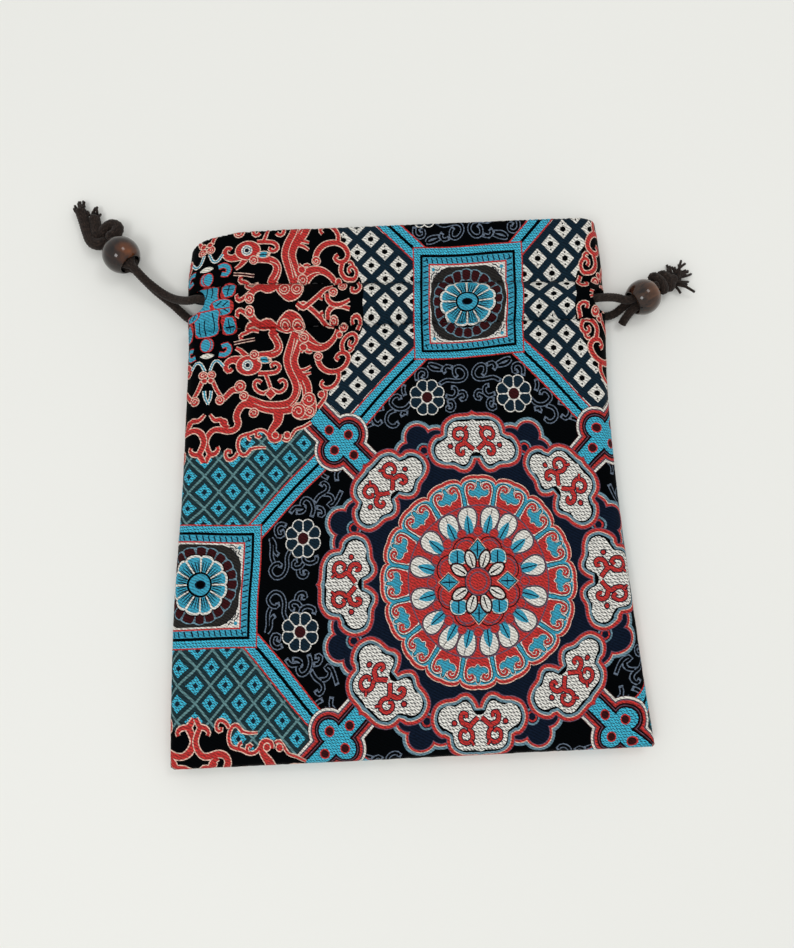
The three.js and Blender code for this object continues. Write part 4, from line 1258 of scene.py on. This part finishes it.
def tiedKnot():
    # its long way lies along x, with the clouds on the low side and the dragons on the high side
    figures = []
    for yarn, radius, half in (
            ("maroon", 6.15, 5.5), ("white", 5.95, 5.3), ("black", 5.3, 4.65), ("plum", 5.15, 4.5),
            ("red", 4.9, 4.25), ("maroon", 4.2, 3.55), ("black", 3.95, 3.3), ("plum", 3.7, 3.05),
            ("maroon", 3.5, 2.85), ("black", 3.25, 2.6), ("cyanDot", 2.95, 2.2)):
        figures += disc(yarn, (0, 3.3), radius, steps=36) + disc(yarn, (0, -3.3), radius, steps=36)
        figures += patch(yarn, [(-13.0, -half), (13.0, -half), (13.0, half), (-13.0, half)])
    for spot in ((5.2, 0), (-5.2, 0), (0, 3.1), (0, -3.1)):
        figures += disc("red", spot, 1.45, steps=18) + disc("maroon", spot, 1.1, steps=14)
    return figures


def fieldFlower():
    # all the rims lie under all the petals, so no rim covers the petal beside it
    figures = around(disc("white", (0, 3.75), 2.0, 1.95, 20), evenTurns(8, 22.5))
    figures += around(disc("teal", (0, 3.75), 1.68, 1.64, 20), evenTurns(8, 22.5))
    figures += around(disc("teal", (0, 3.1), 0.95, 1.2, 14), evenTurns(8, 22.5))
    figures += around(strip("white", [(0, 1.8), (0, 4.4)], 0.34), evenTurns(8))
    return figures + disc("white", (0, 0), 2.0) + disc("maroon", (0, 0), 1.65)


# vines of the octagon, charted as lines: beside the upper and lower flowers, and beside the side ones

vineLook = dict(wide=1.36, hollow=0.76)
upperVines = [
    [(9.7, 56.8), (7.4, 58.0), (4.1, 57.6), (1.9, 58.0), (1.1, 59.9), (2.7, 61.9), (4.7, 61.8), (4.9, 59.9),
     (3.9, 58.7)],
    [(5.4, 61.8), (7.4, 62.4), (8.3, 61.1), (7.6, 60.2)],
    [(8.3, 61.7), (11.0, 62.9), (13.1, 63.1), (11.6, 61.6), (8.6, 61.3)],
    [(16.6, 58.0), (16.8, 60.2), (15.5, 61.5), (13.8, 60.9), (14.0, 59.0), (15.2, 59.6)],
    [(7.8, 53.3), (5.5, 52.7), (4.3, 54.0), (4.7, 55.5), (6.0, 55.7)],
    [(4.2, 53.7), (2.3, 54.3), (1.4, 52.8), (2.5, 51.7), (3.2, 52.6)],
    [(7.4, 51.4), (5.7, 51.5), (5.2, 49.9), (6.2, 48.7), (7.7, 49.3), (6.6, 50.2)],
    [(18.6, 51.5), (20.3, 49.9), (22.9, 49.8), (24.9, 51.6), (23.7, 53.5), (22.1, 53.5), (21.8, 52.4)],
    [(20.3, 53.6), (20.9, 55.2), (20.6, 57.0)],
    [(23.2, 49.5), (25.7, 48.5), (26.4, 46.3), (24.8, 44.8), (22.9, 45.2), (23.3, 46.1)],
    [(19.5, 48.4), (21.5, 48.6), (21.1, 47.4)],
    [(27.0, 50.2), (29.6, 49.6), (30.8, 47.4), (29.4, 45.6), (27.8, 46.6)],
    [(30.6, 46.0), (33.2, 45.0), (34.0, 42.6)],
]
sideVines = [
    [(56.5, 10.3), (57.7, 8.0), (57.6, 5.1), (58.7, 2.7), (61.0, 2.1), (62.6, 4.2), (61.4, 6.1), (59.6, 6.1),
     (59.8, 5.0)],
    [(61.4, 6.1), (62.4, 8.2), (62.4, 11.6), (62.9, 13.6), (61.6, 11.8), (61.5, 9.7), (60.2, 8.6)],
    [(57.9, 16.7), (59.7, 17.4), (61.2, 16.1), (60.6, 14.0), (58.9, 14.2), (59.4, 15.8)],
    [(52.9, 8.3), (52.4, 6.7), (50.6, 6.0), (48.6, 6.8), (48.9, 8.2)],
    [(52.4, 6.5), (53.6, 5.0), (55.6, 5.0), (55.6, 6.6), (54.4, 7.0)],
    [(54.3, 4.8), (53.8, 2.7), (52.0, 2.2), (51.3, 3.6), (52.8, 3.6)],
    [(50.2, 18.9), (49.5, 21.2), (50.3, 23.5), (52.1, 24.3), (53.3, 22.7), (52.0, 21.7)],
    [(49.3, 23.0), (47.8, 25.0), (45.6, 26.4), (45.1, 28.0), (46.4, 29.2), (47.4, 28.0)],
    [(46.5, 25.5), (44.3, 25.2), (43.5, 23.5), (45.0, 22.4), (43.9, 21.9), (42.5, 23.5), (41.0, 26.7)],
    [(48.7, 21.6), (47.0, 21.3), (46.4, 19.7), (47.7, 19.1), (47.7, 20.2)],
    [(56.8, 20.2), (55.3, 21.8), (53.5, 21.7), (52.0, 21.5), (53.2, 20.4), (55.0, 20.4)],
    [(45.0, 30.4), (47.0, 31.6), (46.6, 33.8), (44.4, 34.2), (43.6, 32.4)],
    [(42.4, 29.6), (42.6, 31.8), (41.4, 33.2)],
]


def fieldFigures():
    figures = []
    for vines in (upperVines, sideVines):
        for vine in vines:
            figures += strip("mist", vine, vineLook["wide"])
        for vine in vines:
            figures += strip("black", evenPoints(vine, 0.6)[0][1:-1], vineLook["hollow"])
    return figures + placed(fieldFlower(), move=(13.5, 53)) + placed(fieldFlower(), move=(52.8, 13))


# one dragon of the four in a field, charted in squares of a zoomed view, each line with its widths

dragonRim = 0.30
dragonLines = [
    ([(83, 134.5), (77.4, 137.7), (72.5, 139.5), (69.4, 143.8), (66.6, 147), (63.8, 146)], 0.6),
    ([(54.5, 144.5), (51, 141.2), (46.8, 140.9), (42.6, 142.9), (38.5, 144), (35, 145.6), (33.6, 149.5),
      (33.9, 153), (35.7, 156.5), (38.5, 157.2), (40.9, 155.1), (42.6, 153)], 0.8),
    ([(41.5, 153.6), (46.8, 152.4), (52.4, 152.3)], (0.6, 0.5, 0.3)),
    ([(40.5, 143.6), (40.3, 146), (42.4, 147.2)], 0.7),
    ([(46.2, 141.4), (45.4, 144.2), (47.2, 145.8), (48.9, 144.3)], 0.7),
    ([(33.6, 155.8), (31.5, 158.8), (27.6, 160.4), (25.4, 157.9), (26, 154.6), (28.4, 154.4), (28.6, 156.4)],
     (0.8, 0.8, 0.7)),
    ([(15, 156.9), (18.3, 156.2), (20.4, 153.7), (19.8, 151.8)], (1.2, 1.1, 0.8)),
    ([(13.2, 129), (16.5, 133), (21, 133), (23, 136.5), (26.5, 139)], (0.5, 1.2, 1.5, 1.2)),
    ([(22.5, 133), (25, 134.5), (24, 137)], 0.7),
    ([(70, 126), (62, 127), (52, 126), (43, 123.5), (37, 122.5), (33.5, 125), (31.4, 130.5), (33, 136),
      (31.3, 140), (26.5, 141.3), (20.5, 140), (16.5, 140.5), (13.4, 144), (12, 148.9), (13.4, 153.7),
      (14.6, 156.6), (13.2, 159.3), (11.9, 162)], (1.8, 2.0, 1.9, 1.8, 1.6, 1.4, 1.1)),
    ([(60, 128), (60, 134), (56.5, 139.5), (54.8, 144.5), (57.2, 147.3), (61.4, 146.1), (61.8, 143)],
     (3.4, 2.6, 1.8, 1.4, 1.1, 1.0)),
    ([(71.5, 72), (69.5, 78), (67.3, 85), (65.8, 92), (67.5, 99), (71, 106), (72.5, 112), (71, 118),
      (67, 122), (60, 123.5), (50, 123), (43, 120.5), (37.5, 118)], (2.0, 2.3, 2.4, 2.4, 2.4, 2.0, 1.6)),
    ([(75.5, 76), (72.5, 84), (70.3, 92), (72.3, 99.5), (76.5, 105), (79.5, 111), (80.3, 117)],
     (1.3, 1.5, 1.7, 2.3, 2.9, 2.7)),
    ([(74.5, 85.5), (77, 83.5), (79.5, 85.5), (82, 84.5)], 0.7),
    ([(74, 99), (78, 98), (81.5, 95.5)], (0.9, 0.8, 0.5)),
    ([(76, 102), (79, 101.3), (81.8, 100.5)], (0.9, 0.8, 0.5)),
    ([(58, 71), (56, 73.5), (58.5, 78), (60, 82.5), (58.5, 86.5), (54, 88.8), (46, 89.2)],
     (2.6, 2.2, 2.1, 1.9, 1.4)),
    ([(58.5, 70.5), (54, 67.5), (49, 68.5), (45, 66.5), (42.5, 63), (41.8, 60.8)], (3.2, 2.8, 2.4, 1.7, 1.5)),
    ([(43, 65.5), (39, 62), (35, 60.3), (32.8, 62.3), (34.5, 63.3)], 0.85),
    ([(44, 67), (40.5, 68), (38.3, 70.3), (40.2, 71.6)], 0.8),
    ([(47, 72), (42, 71.5), (38, 73.5), (35, 74.3), (33.8, 76.6), (36, 77)], 0.8),
    ([(75, 73), (78.5, 77), (84, 80.8), (90, 81.3), (95.5, 78), (99, 73.5), (100.5, 70)],
     (3.6, 3.9, 3.2, 2.1, 1.6, 1.3, 1.2)),
    ([(98, 67.5), (93, 66.5), (88, 62), (82, 57.5), (77.5, 55.3), (73.5, 58)], 1.0),
    ([(90.5, 64), (89, 61), (91, 60)], 0.7),
    ([(94, 63.5), (94.3, 59.5), (98, 56.5), (103, 56.3), (109.5, 58.3)], (1.2, 1.1, 0.7)),
    ([(86, 90), (88, 95), (93, 99.3), (100, 100.3), (106, 97.3), (108.8, 91.5), (106.5, 87.3), (102, 86.8),
      (99.3, 89.8), (101.8, 91.8)], (1.5, 1.5, 1.3, 1.2, 0.9)),
    ([(102, 100.5), (102, 106), (98, 111), (92.5, 112), (89.5, 109), (91.3, 106.6)], (1.1, 1.0, 0.8)),
    ([(104.5, 86), (103.5, 80), (107, 75), (112.5, 74.3), (114.5, 79), (111.5, 83), (108.7, 81), (110, 78.5)],
     (1.2, 1.1, 0.9, 0.7)),
    ([(112, 83), (111, 86), (108.5, 86)], 0.7),
    ([(115, 72), (117, 66), (114.5, 63), (111, 64), (111.5, 67)], 0.9),
    ([(92.8, 113.5), (92.5, 118), (90, 122), (87.5, 125)], 0.9),
    ([(33, 112.5), (28.5, 113), (25, 116), (22, 119)], (1.8, 1.4, 1.2)),
    ([(21, 118), (17.5, 112.5), (14.8, 106)], 0.9),
    ([(34, 93), (29, 92), (25, 94), (23.8, 97.5), (26, 100.2), (28.3, 98.3)], (2.8, 1.9, 1.5, 1.3, 0.9)),
    ([(38, 90), (34.5, 86), (31, 83.8)], (1.6, 1.1, 0.7)),
    ([(46, 102), (52, 101.8), (58, 100.5), (60.3, 97), (58, 94.6), (55, 95.5), (55.7, 97.6)],
     (1.1, 1.0, 0.8)),
    ([(50.5, 102), (52.5, 107), (54, 112)], 0.8),
    ([(54, 113), (49, 115.3), (44.5, 113), (43.3, 109), (45.5, 106.8), (48, 108.4)], 0.85),
    ([(54.5, 112.5), (60, 114.3), (64, 111.5), (64.3, 107.5), (61.8, 105.8), (59.5, 107.7)], 0.85),
]
dragonMasses = [
    [(58, 70), (59.5, 65.5), (62.5, 62.3), (66.5, 59.3), (70, 59), (74, 60.5), (77, 63.3), (78.2, 67),
     (77.2, 71), (74.5, 73), (70.5, 71.3), (67, 73), (62.5, 72.5)],
    [(69, 127), (69.5, 123.5), (72, 121.5), (75.8, 121), (76.8, 117), (79.5, 114.3), (83, 115), (86, 118),
     (86.9, 123), (86.5, 128), (83.5, 131.5), (79, 132.8), (74, 133), (70.5, 130.5)],
]
dragonRings = [
    (65, 67.3, 1.5), (73.4, 67.3, 1.5), (77, 75.5, 1.3), (81.5, 119.5, 1.9), (74.3, 127.3, 2.0),
    (82, 127.5, 1.2), (43, 128.5, 1.3), (33.7, 110.5, 1.6), (36.2, 117, 1.2), (19.7, 119.5, 1.2),
    (14.3, 102, 1.1), (13.6, 106, 0.7), (58.6, 143.8, 0.9), (66.7, 143.3, 0.9), (86.5, 88, 1.2),
    (104.5, 68.5, 1.3), (98, 64.3, 1.15), (101.5, 73.5, 0.8), (41.8, 61, 1.2), (43.7, 89, 1.2),
    (90, 116.3, 0.9), (76.5, 82, 1.0),
]
dragonInner = [
    [(70.8, 76), (68.9, 85), (67.5, 92), (69.2, 99), (72.8, 106), (74.2, 112), (72.7, 118), (68, 123.6)],
    [(76, 106.3), (78.6, 111.5), (79.2, 116.5)],
    [(57.5, 75), (60, 79), (61, 82.5), (59.5, 85.5), (55, 87.6)],
    [(77, 73.5), (80, 77.3), (85, 79.8), (89, 80)],
    [(67, 124.5), (60, 125.3), (50, 124.6), (43, 122)],
]

# a quarter of the edge of the dragons' black field
fieldEdge = [
    (49.4, 0), (49.8, -4.0), (49.0, -7.8), (46.9, -10.6), (46.9, -14.4), (44.0, -18.5), (43.2, -21.5),
    (39.5, -25.0), (37.8, -28.5), (34.0, -33.3), (31.7, -36.2), (28.2, -37.2), (26.7, -39.4), (25.5, -40.9),
    (23.1, -40.4), (21.1, -41.0), (19.6, -39.6), (18.3, -37.8), (16.3, -37.6), (12.5, -38.8), (10.6, -39.5),
    (10.0, -41.1), (10.2, -44.5), (9.3, -46.0), (7.4, -46.6), (6.3, -45.3), (5.1, -43.3), (4.3, -44.1),
    (3.3, -44.9), (2.1, -45.2), (1.2, -46.3), (0, -47.0),
]


def fromSquares(points):
    # from squares of the zoomed view to millimetres from the middle of the field
    return [(0.4612 * x + 0.0013 * y - 5.45, 26.27 - 0.0114 * x - 0.4497 * y) for x, y in points]


def veined(yarn, edge, points, rim):
    outline = smoothPatch(yarn, points)[0][1]
    return [(edge, outline), (yarn, inset(outline, rim))]


def dragon():
    figures = []
    for line, width in dragonLines:
        figures += strip("pink", fromSquares(line), np.atleast_1d(width) + 2 * dragonRim, 0.8)
    for mass in dragonMasses:
        figures += veined("red", "pink", fromSquares(mass), dragonRim)
    for line, width in dragonLines:
        figures += strip("red", fromSquares(line), width, 0.8)
    head = fromSquares([(39.7, 96.3)])[0]
    figures += disc("pink", head, 4.15, 3.25) + disc("red", head, 3.85, 2.95)
    for line in dragonInner:
        figures += strip("pink", fromSquares(line), 0.26, 1.0)
    for x, y, radius in dragonRings:
        spot = fromSquares([(x, y)])[0]
        figures += disc("pink", spot, radius + dragonRim, steps=18) + disc("red", spot, radius, steps=18)
        if radius > 1.0:
            curl = []
            for k, turn in enumerate(np.radians(np.arange(-200, 181, 38))):
                out = radius * (0.25 + 0.1 * k / 2)
                curl.append((spot[0] + out * math.cos(turn), spot[1] + out * math.sin(turn)))
            figures += strip("pink", curl, 0.28, 0.5)
    eye = fromSquares([(39.0, 96.3)])[0]
    for yarn, radius in (("white", 1.8), ("steel", 1.35), ("white", 1.0), ("navy", 0.7)):
        figures += disc(yarn, eye, radius, steps=18)
    lid = [(45.3, 92.6), (48, 90.2), (53, 90.2), (55.8, 92.6), (53, 95), (48, 95)]
    figures += veined("cyan", "pink", fromSquares(lid), 0.3)
    figures += strip("navy", fromSquares([(47.5, 92.6), (53.5, 92.6)]), 0.35)
    bud = fromSquares([(54, 115.5)])[0]
    for yarn, half in (("pink", 1.95), ("red", 1.5)):
        figures += patch(yarn, [(bud[0] - half, bud[1]), (bud[0], bud[1] - half), (bud[0] + half, bud[1]),
                                (bud[0], bud[1] + half)])
    figures += outlined("maroon", "pink", fromSquares([(29.8, 80.3), (44, 77.8)]), 0.6, 0.26)
    for stroke in ([(22.5, 96.5), (19, 92.3), (15.8, 93), (13.2, 99)],
                   [(13.8, 113), (13.2, 118), (11.3, 122)]):
        figures += outlined("cyan", "white", fromSquares(stroke), (0.5, 0.4), 0.28)
    hook = [(19.5, 87.5), (23.5, 88), (26.6, 85), (25.2, 81), (21.5, 82)]
    figures += outlined("cyan", "red", fromSquares(hook), (1.3, 1.4, 1.2), 0.35)
    figures += disc("red", (0.4, -9.9), 1.75, 2.35) + disc("cyan", (0.4, -9.9), 1.4, 2.0)
    figures += smoothPatch("cream", [(0, -12.6), (2.2, -13.4), (0, -14.4), (-2.2, -13.4)])
    figures += veined("cyan", "red", [(4.2, 0.2), (4.2, -3.2), (3.6, -6.6), (0, -7.5), (-3.6, -6.6),
                                      (-4.2, -3.2), (-4.2, 0.2)], 0.35)
    figures += veined("cyan", "red", [(5.0, -2.4), (9.0, -2.6), (9.5, -4.6), (9.0, -7.1), (5.2, -7.2),
                                      (4.9, -4.6)], 0.35)
    figures += veined("cyan", "red", [(1.8, 0.3), (2.2, -1.6), (5, -2.3), (8, -1.7), (8.8, 0.3)], 0.3)
    for vein in ([(0.2, -2.6), (0.6, -4.4), (0.2, -6.8)], [(2.0, -2.8), (2.4, -4.6), (1.8, -6.4)],
                 [(-2.2, -1.0), (-2.6, -3.6), (-1.9, -6.2)], [(5.8, -4.8), (8.8, -4.7)],
                 [(7.0, -3.0), (7.3, -6.6)], [(3.4, -0.4), (5.2, -1.6)], [(5.4, -0.2), (7.2, -1.3)]):
        figures += strip("navy", vein, 0.34, 0.9)
    return figures


def dragonFigures():
    half = wholeOf(fieldEdge)
    return patch("black", half + [(x, -y) for x, y in half[-2:0:-1]]) + inQuarters(dragon())


# brocade: one quarter of the repeat, from the middle of a medallion to the middle of a dragon field

repeat = dict(across=83, up=82, stretch=1.088, frameEnds=[(15, 67), (68, 15)], latticeSlope=0.981,
              latticeFrom=79)
lattices = dict(pale=(26.45, 82.0, 4.35, 4.13), blue=(83.0, 26.9, 4.38, 4.60))   # one crossing, and the steps


def latticeFigures():
    across, up = repeat["across"], repeat["up"]
    figures = patch("teal", [(0, 0), (across, up), (0, up)])
    figures += patch("moss", [(0, 0), (across, 0), (across, up)])
    for kind, (startU, startV, stepU, stepV) in lattices.items():
        isPale = kind == "pale"
        stack = [("slate", stepU, stepV), ("moss", stepU - 0.42, stepV - 0.44), ("cyanDot", 2.45, 2.5),
                 ("teal", 0.85, 0.9)]
        if isPale:
            stack = [("white", 2.85, 2.75)]
        for i in range(-20, 21):
            for j in range(-20, 21):
                u, v = startU + stepU * i, startV + stepV * j
                outside = not 0 < u < across + 4 or not 0 < v < up + 4
                underFrame = repeat["latticeSlope"] * u + v < repeat["latticeFrom"]
                if (i + j) % 2 or outside or underFrame or (v > u) != isPale:
                    continue
                for yarn, wide, tall in stack:
                    figures += patch(yarn, [(u - wide, v), (u, v - tall), (u + wide, v), (u, v + tall)])
                if isPale:
                    figures += disc("black", (u, v), 0.85, 1.0, 6, 90)
                    for tick in (-1.65, 1.65):
                        figures += disc("black", (u, v + tick), 0.26, steps=8)
    return figures


def chartFigures():
    # every figure of four quarters round one medallion, in the order of the painting
    upper, lower = repeat["frameEnds"]
    quarter = latticeFigures()
    quarter += patch("black", [(0, 0), (lower[0], 0), lower, upper, (0, upper[1])])
    quarter += fieldFigures()
    for yarn, width in (("red", 5.9), ("cyanDot", 5.0), ("black", 0.9)):
        quarter += strip(yarn, repeat["frameEnds"], width, 3.0)
    return inQuarters(quarter)


def centreFigures():
    figures = around(lobe(), evenTurns(8, 22.5)) + disc("navy", (0, 0), 37.0, steps=96)
    for turn in evenTurns(8):
        out = np.array([-math.sin(math.radians(turn)), math.cos(math.radians(turn))])
        figures += placed(cloud(), turn, tuple(39.0 * out))
    return figures + medallion()


def wholeChart(window):
    # the figures of every repeat that reaches into the window (left, low, right, high)
    ground, centre = chartFigures(), centreFigures()
    upperRosette, sideRosette, knot = rosette(8.8, 7.0), rosette(8.0, 8.4), tiedKnot()
    dragons = dragonFigures()
    across, up = repeat["across"], repeat["up"]
    stations = []   # place in the painting, figures, middle, turn, and how far they reach
    for i in range(-2, 3):
        for j in range(-2, 3):
            u, v = 2 * across * i, 2 * up * j
            stations.append((0, ground, (u, v), 0, 118))
            stations.append((2, centre, (u, v), 0, 50))
            stations.append((2, upperRosette, (u, v + up), 0, 25))
            stations.append((2, sideRosette, (u + across, v), 0, 25))
            stations.append((3, dragons, (u + across, v + up), 0, 62))
            for k, (a, b) in enumerate(quarters):
                stations.append((1, knot, (u + 40.8 * a, v + 40.8 * b), 45 + 90 * k, 15))
    figures = []
    for order, motif, (u, v), turn, reach in sorted(stations, key=lambda station: station[0]):
        if window[0] - reach < u < window[2] + reach and window[1] - reach < v < window[3] + reach:
            figures += placed(motif, turn, (u, v))
    return figures


# how the cloth of the front is pulled off the true chart: place on the chart, and the shift there
pulls = [
    (0, 0, 0, 0), (29, 0, 0.3, -0.5), (-29, 0, 0.1, 0.3), (0, 29, 1.5, 0.3), (0, -29, -1.5, 0.3),
    (-15, 97, 2.1, -2.4), (15, 97, 1.8, -1.4), (0, 82, 0.3, -3.0), (-15, 67, 1.4, -1.7), (15, 67, 0.5, 0.5),
    (-68, 15, 1.0, 0.2), (-68, -15, -0.7, 2.4), (-83, 0, -0.5, 2.0), (-41, 41, 1.1, -0.9),
    (-41, -41, -2.5, 0), (41, 41, 0, -0.2), (41, -41, -1.7, -0.3), (-53, 13, 0.7, 0.5), (-53, -13, -0.8, 0.9),
    (-13, 53, 0.2, -0.3), (13, 53, 0.4, -0.1), (-83, 82, 2.3, -3.0), (-60, 82, 2.3, -3.0),
    (-72, 98, 2.3, -1.2), (-72, 66, 2.3, -1.2), (-70, 27, 1.2, 0), (-79, -32, -2.1, 2.1),
    (-66, -36, -2.0, 1.2), (-60, -43, -3.4, 1.5),
]
pullReach = 14.0   # how far round its place a pull is felt
letOutFrom = 30   # the row where the chart begins to be let out
panelCharts = dict(front=(21.4, -33.8), back=(-30.0, 6.0))   # where a medallion's middle falls on each panel
chartReach = dict(side=76, pastHem=45)   # how far the chart is drawn


def pulled(corners):
    places = np.array([pull[:2] for pull in pulls])
    gap = (corners[:, None, 0] - places[:, 0]) ** 2 + (corners[:, None, 1] - places[:, 1]) ** 2
    share = np.exp(-gap / pullReach ** 2) + 1e-9 / (1 + gap)
    share /= share.sum(axis=1)[:, None]
    return corners + share @ np.array([pull[2:] for pull in pulls])


def letOut(rows, corners):
    # the upper part is spaced evenly as seen from above, so it is let out where the casing is steep
    top = rows["topAt"]
    y, along = rows["y"][:top], rows["q"][:top]
    seen = letOutFrom + corners[:, 1] - np.interp(letOutFrom, y, along)
    steep = np.interp(seen, y, along) + np.maximum(0, seen - y[-1])
    return np.stack([corners[:, 0], np.where(seen < letOutFrom, corners[:, 1], steep)], axis=1)


def chartOnCloth(rows, centre, pulledCloth):
    q, side, stretch = rows["q"], chartReach["side"], repeat["stretch"]
    window = (-side - centre[0], (q[0] - centre[1]) / stretch,
              side - centre[0], (q[rows["hemAt"]] + chartReach["pastHem"] - centre[1]) / stretch)
    figures = []
    for yarn, corners in wholeChart(window):
        if pulledCloth:
            corners = pulled(splitEdges(corners, clothMesh["edge"]))
        corners = corners * (1, stretch) + centre
        figures.append((yarn, letOut(rows, corners) if pulledCloth else corners))
    return figures


frontRows = makePanelRows(True)
frontChart = chartOnCloth(frontRows, panelCharts["front"], True)
frontPanel = weavePanel("frontPanel", frontRows, frontChart, "front_panel")
backRows = makePanelRows(False)
backChart = chartOnCloth(backRows, panelCharts["back"], False)
backPanel = weavePanel("backPanel", backRows, backChart, "back_panel")


# stitches along both edges of the casing

stitchLook = dict(first=-56, last=55, long=2.0, gap=0.7, radius=0.17, sides=6, colour=(16, 15, 18),
                  roughness=0.6, rise=(-0.25, 0.1, 0.2, 0.2, 0.1, -0.25))


def makeStitches(name, rows):
    bm = bmesh.new()
    uvLayer = bm.loops.layers.uv.new("cordRun")
    top, count = rows["topAt"], len(stitchLook["rise"])
    rise = clothShape["wall"] / 2 + np.array(stitchLook["rise"])
    radius = stitchLook["radius"] * mm
    for stitchName in ("lowerStitch", "upperStitch"):
        q = float(np.interp(clothShape[stitchName], rows["y"][:top], rows["q"][:top]))
        pitch = stitchLook["long"] + stitchLook["gap"]
        for start in np.arange(stitchLook["first"], stitchLook["last"], pitch):
            p = start + np.linspace(0, stitchLook["long"], count)
            middle, normal = panelSurface(rows, p, np.full(count, q))
            line = (middle + normal * rise[:, None]) * mm
            line[:, 2] = np.maximum(line[:, 2], radius)   # no lower than the floor
            addTube(bm, uvLayer, line, np.full(count, radius), stitchLook["sides"])
    material, tree, shader = newMaterial(name + "Thread")
    colour = fromScreen(*stitchLook["colour"])
    feedAll(tree, shader, dict(Base_Color=colour, Roughness=stitchLook["roughness"]))
    return finishPiece(name, bm, [material])


frontStitches = makeStitches("frontStitches", frontRows)
backStitches = makeStitches("backStitches", backRows)
print("casing stitched")
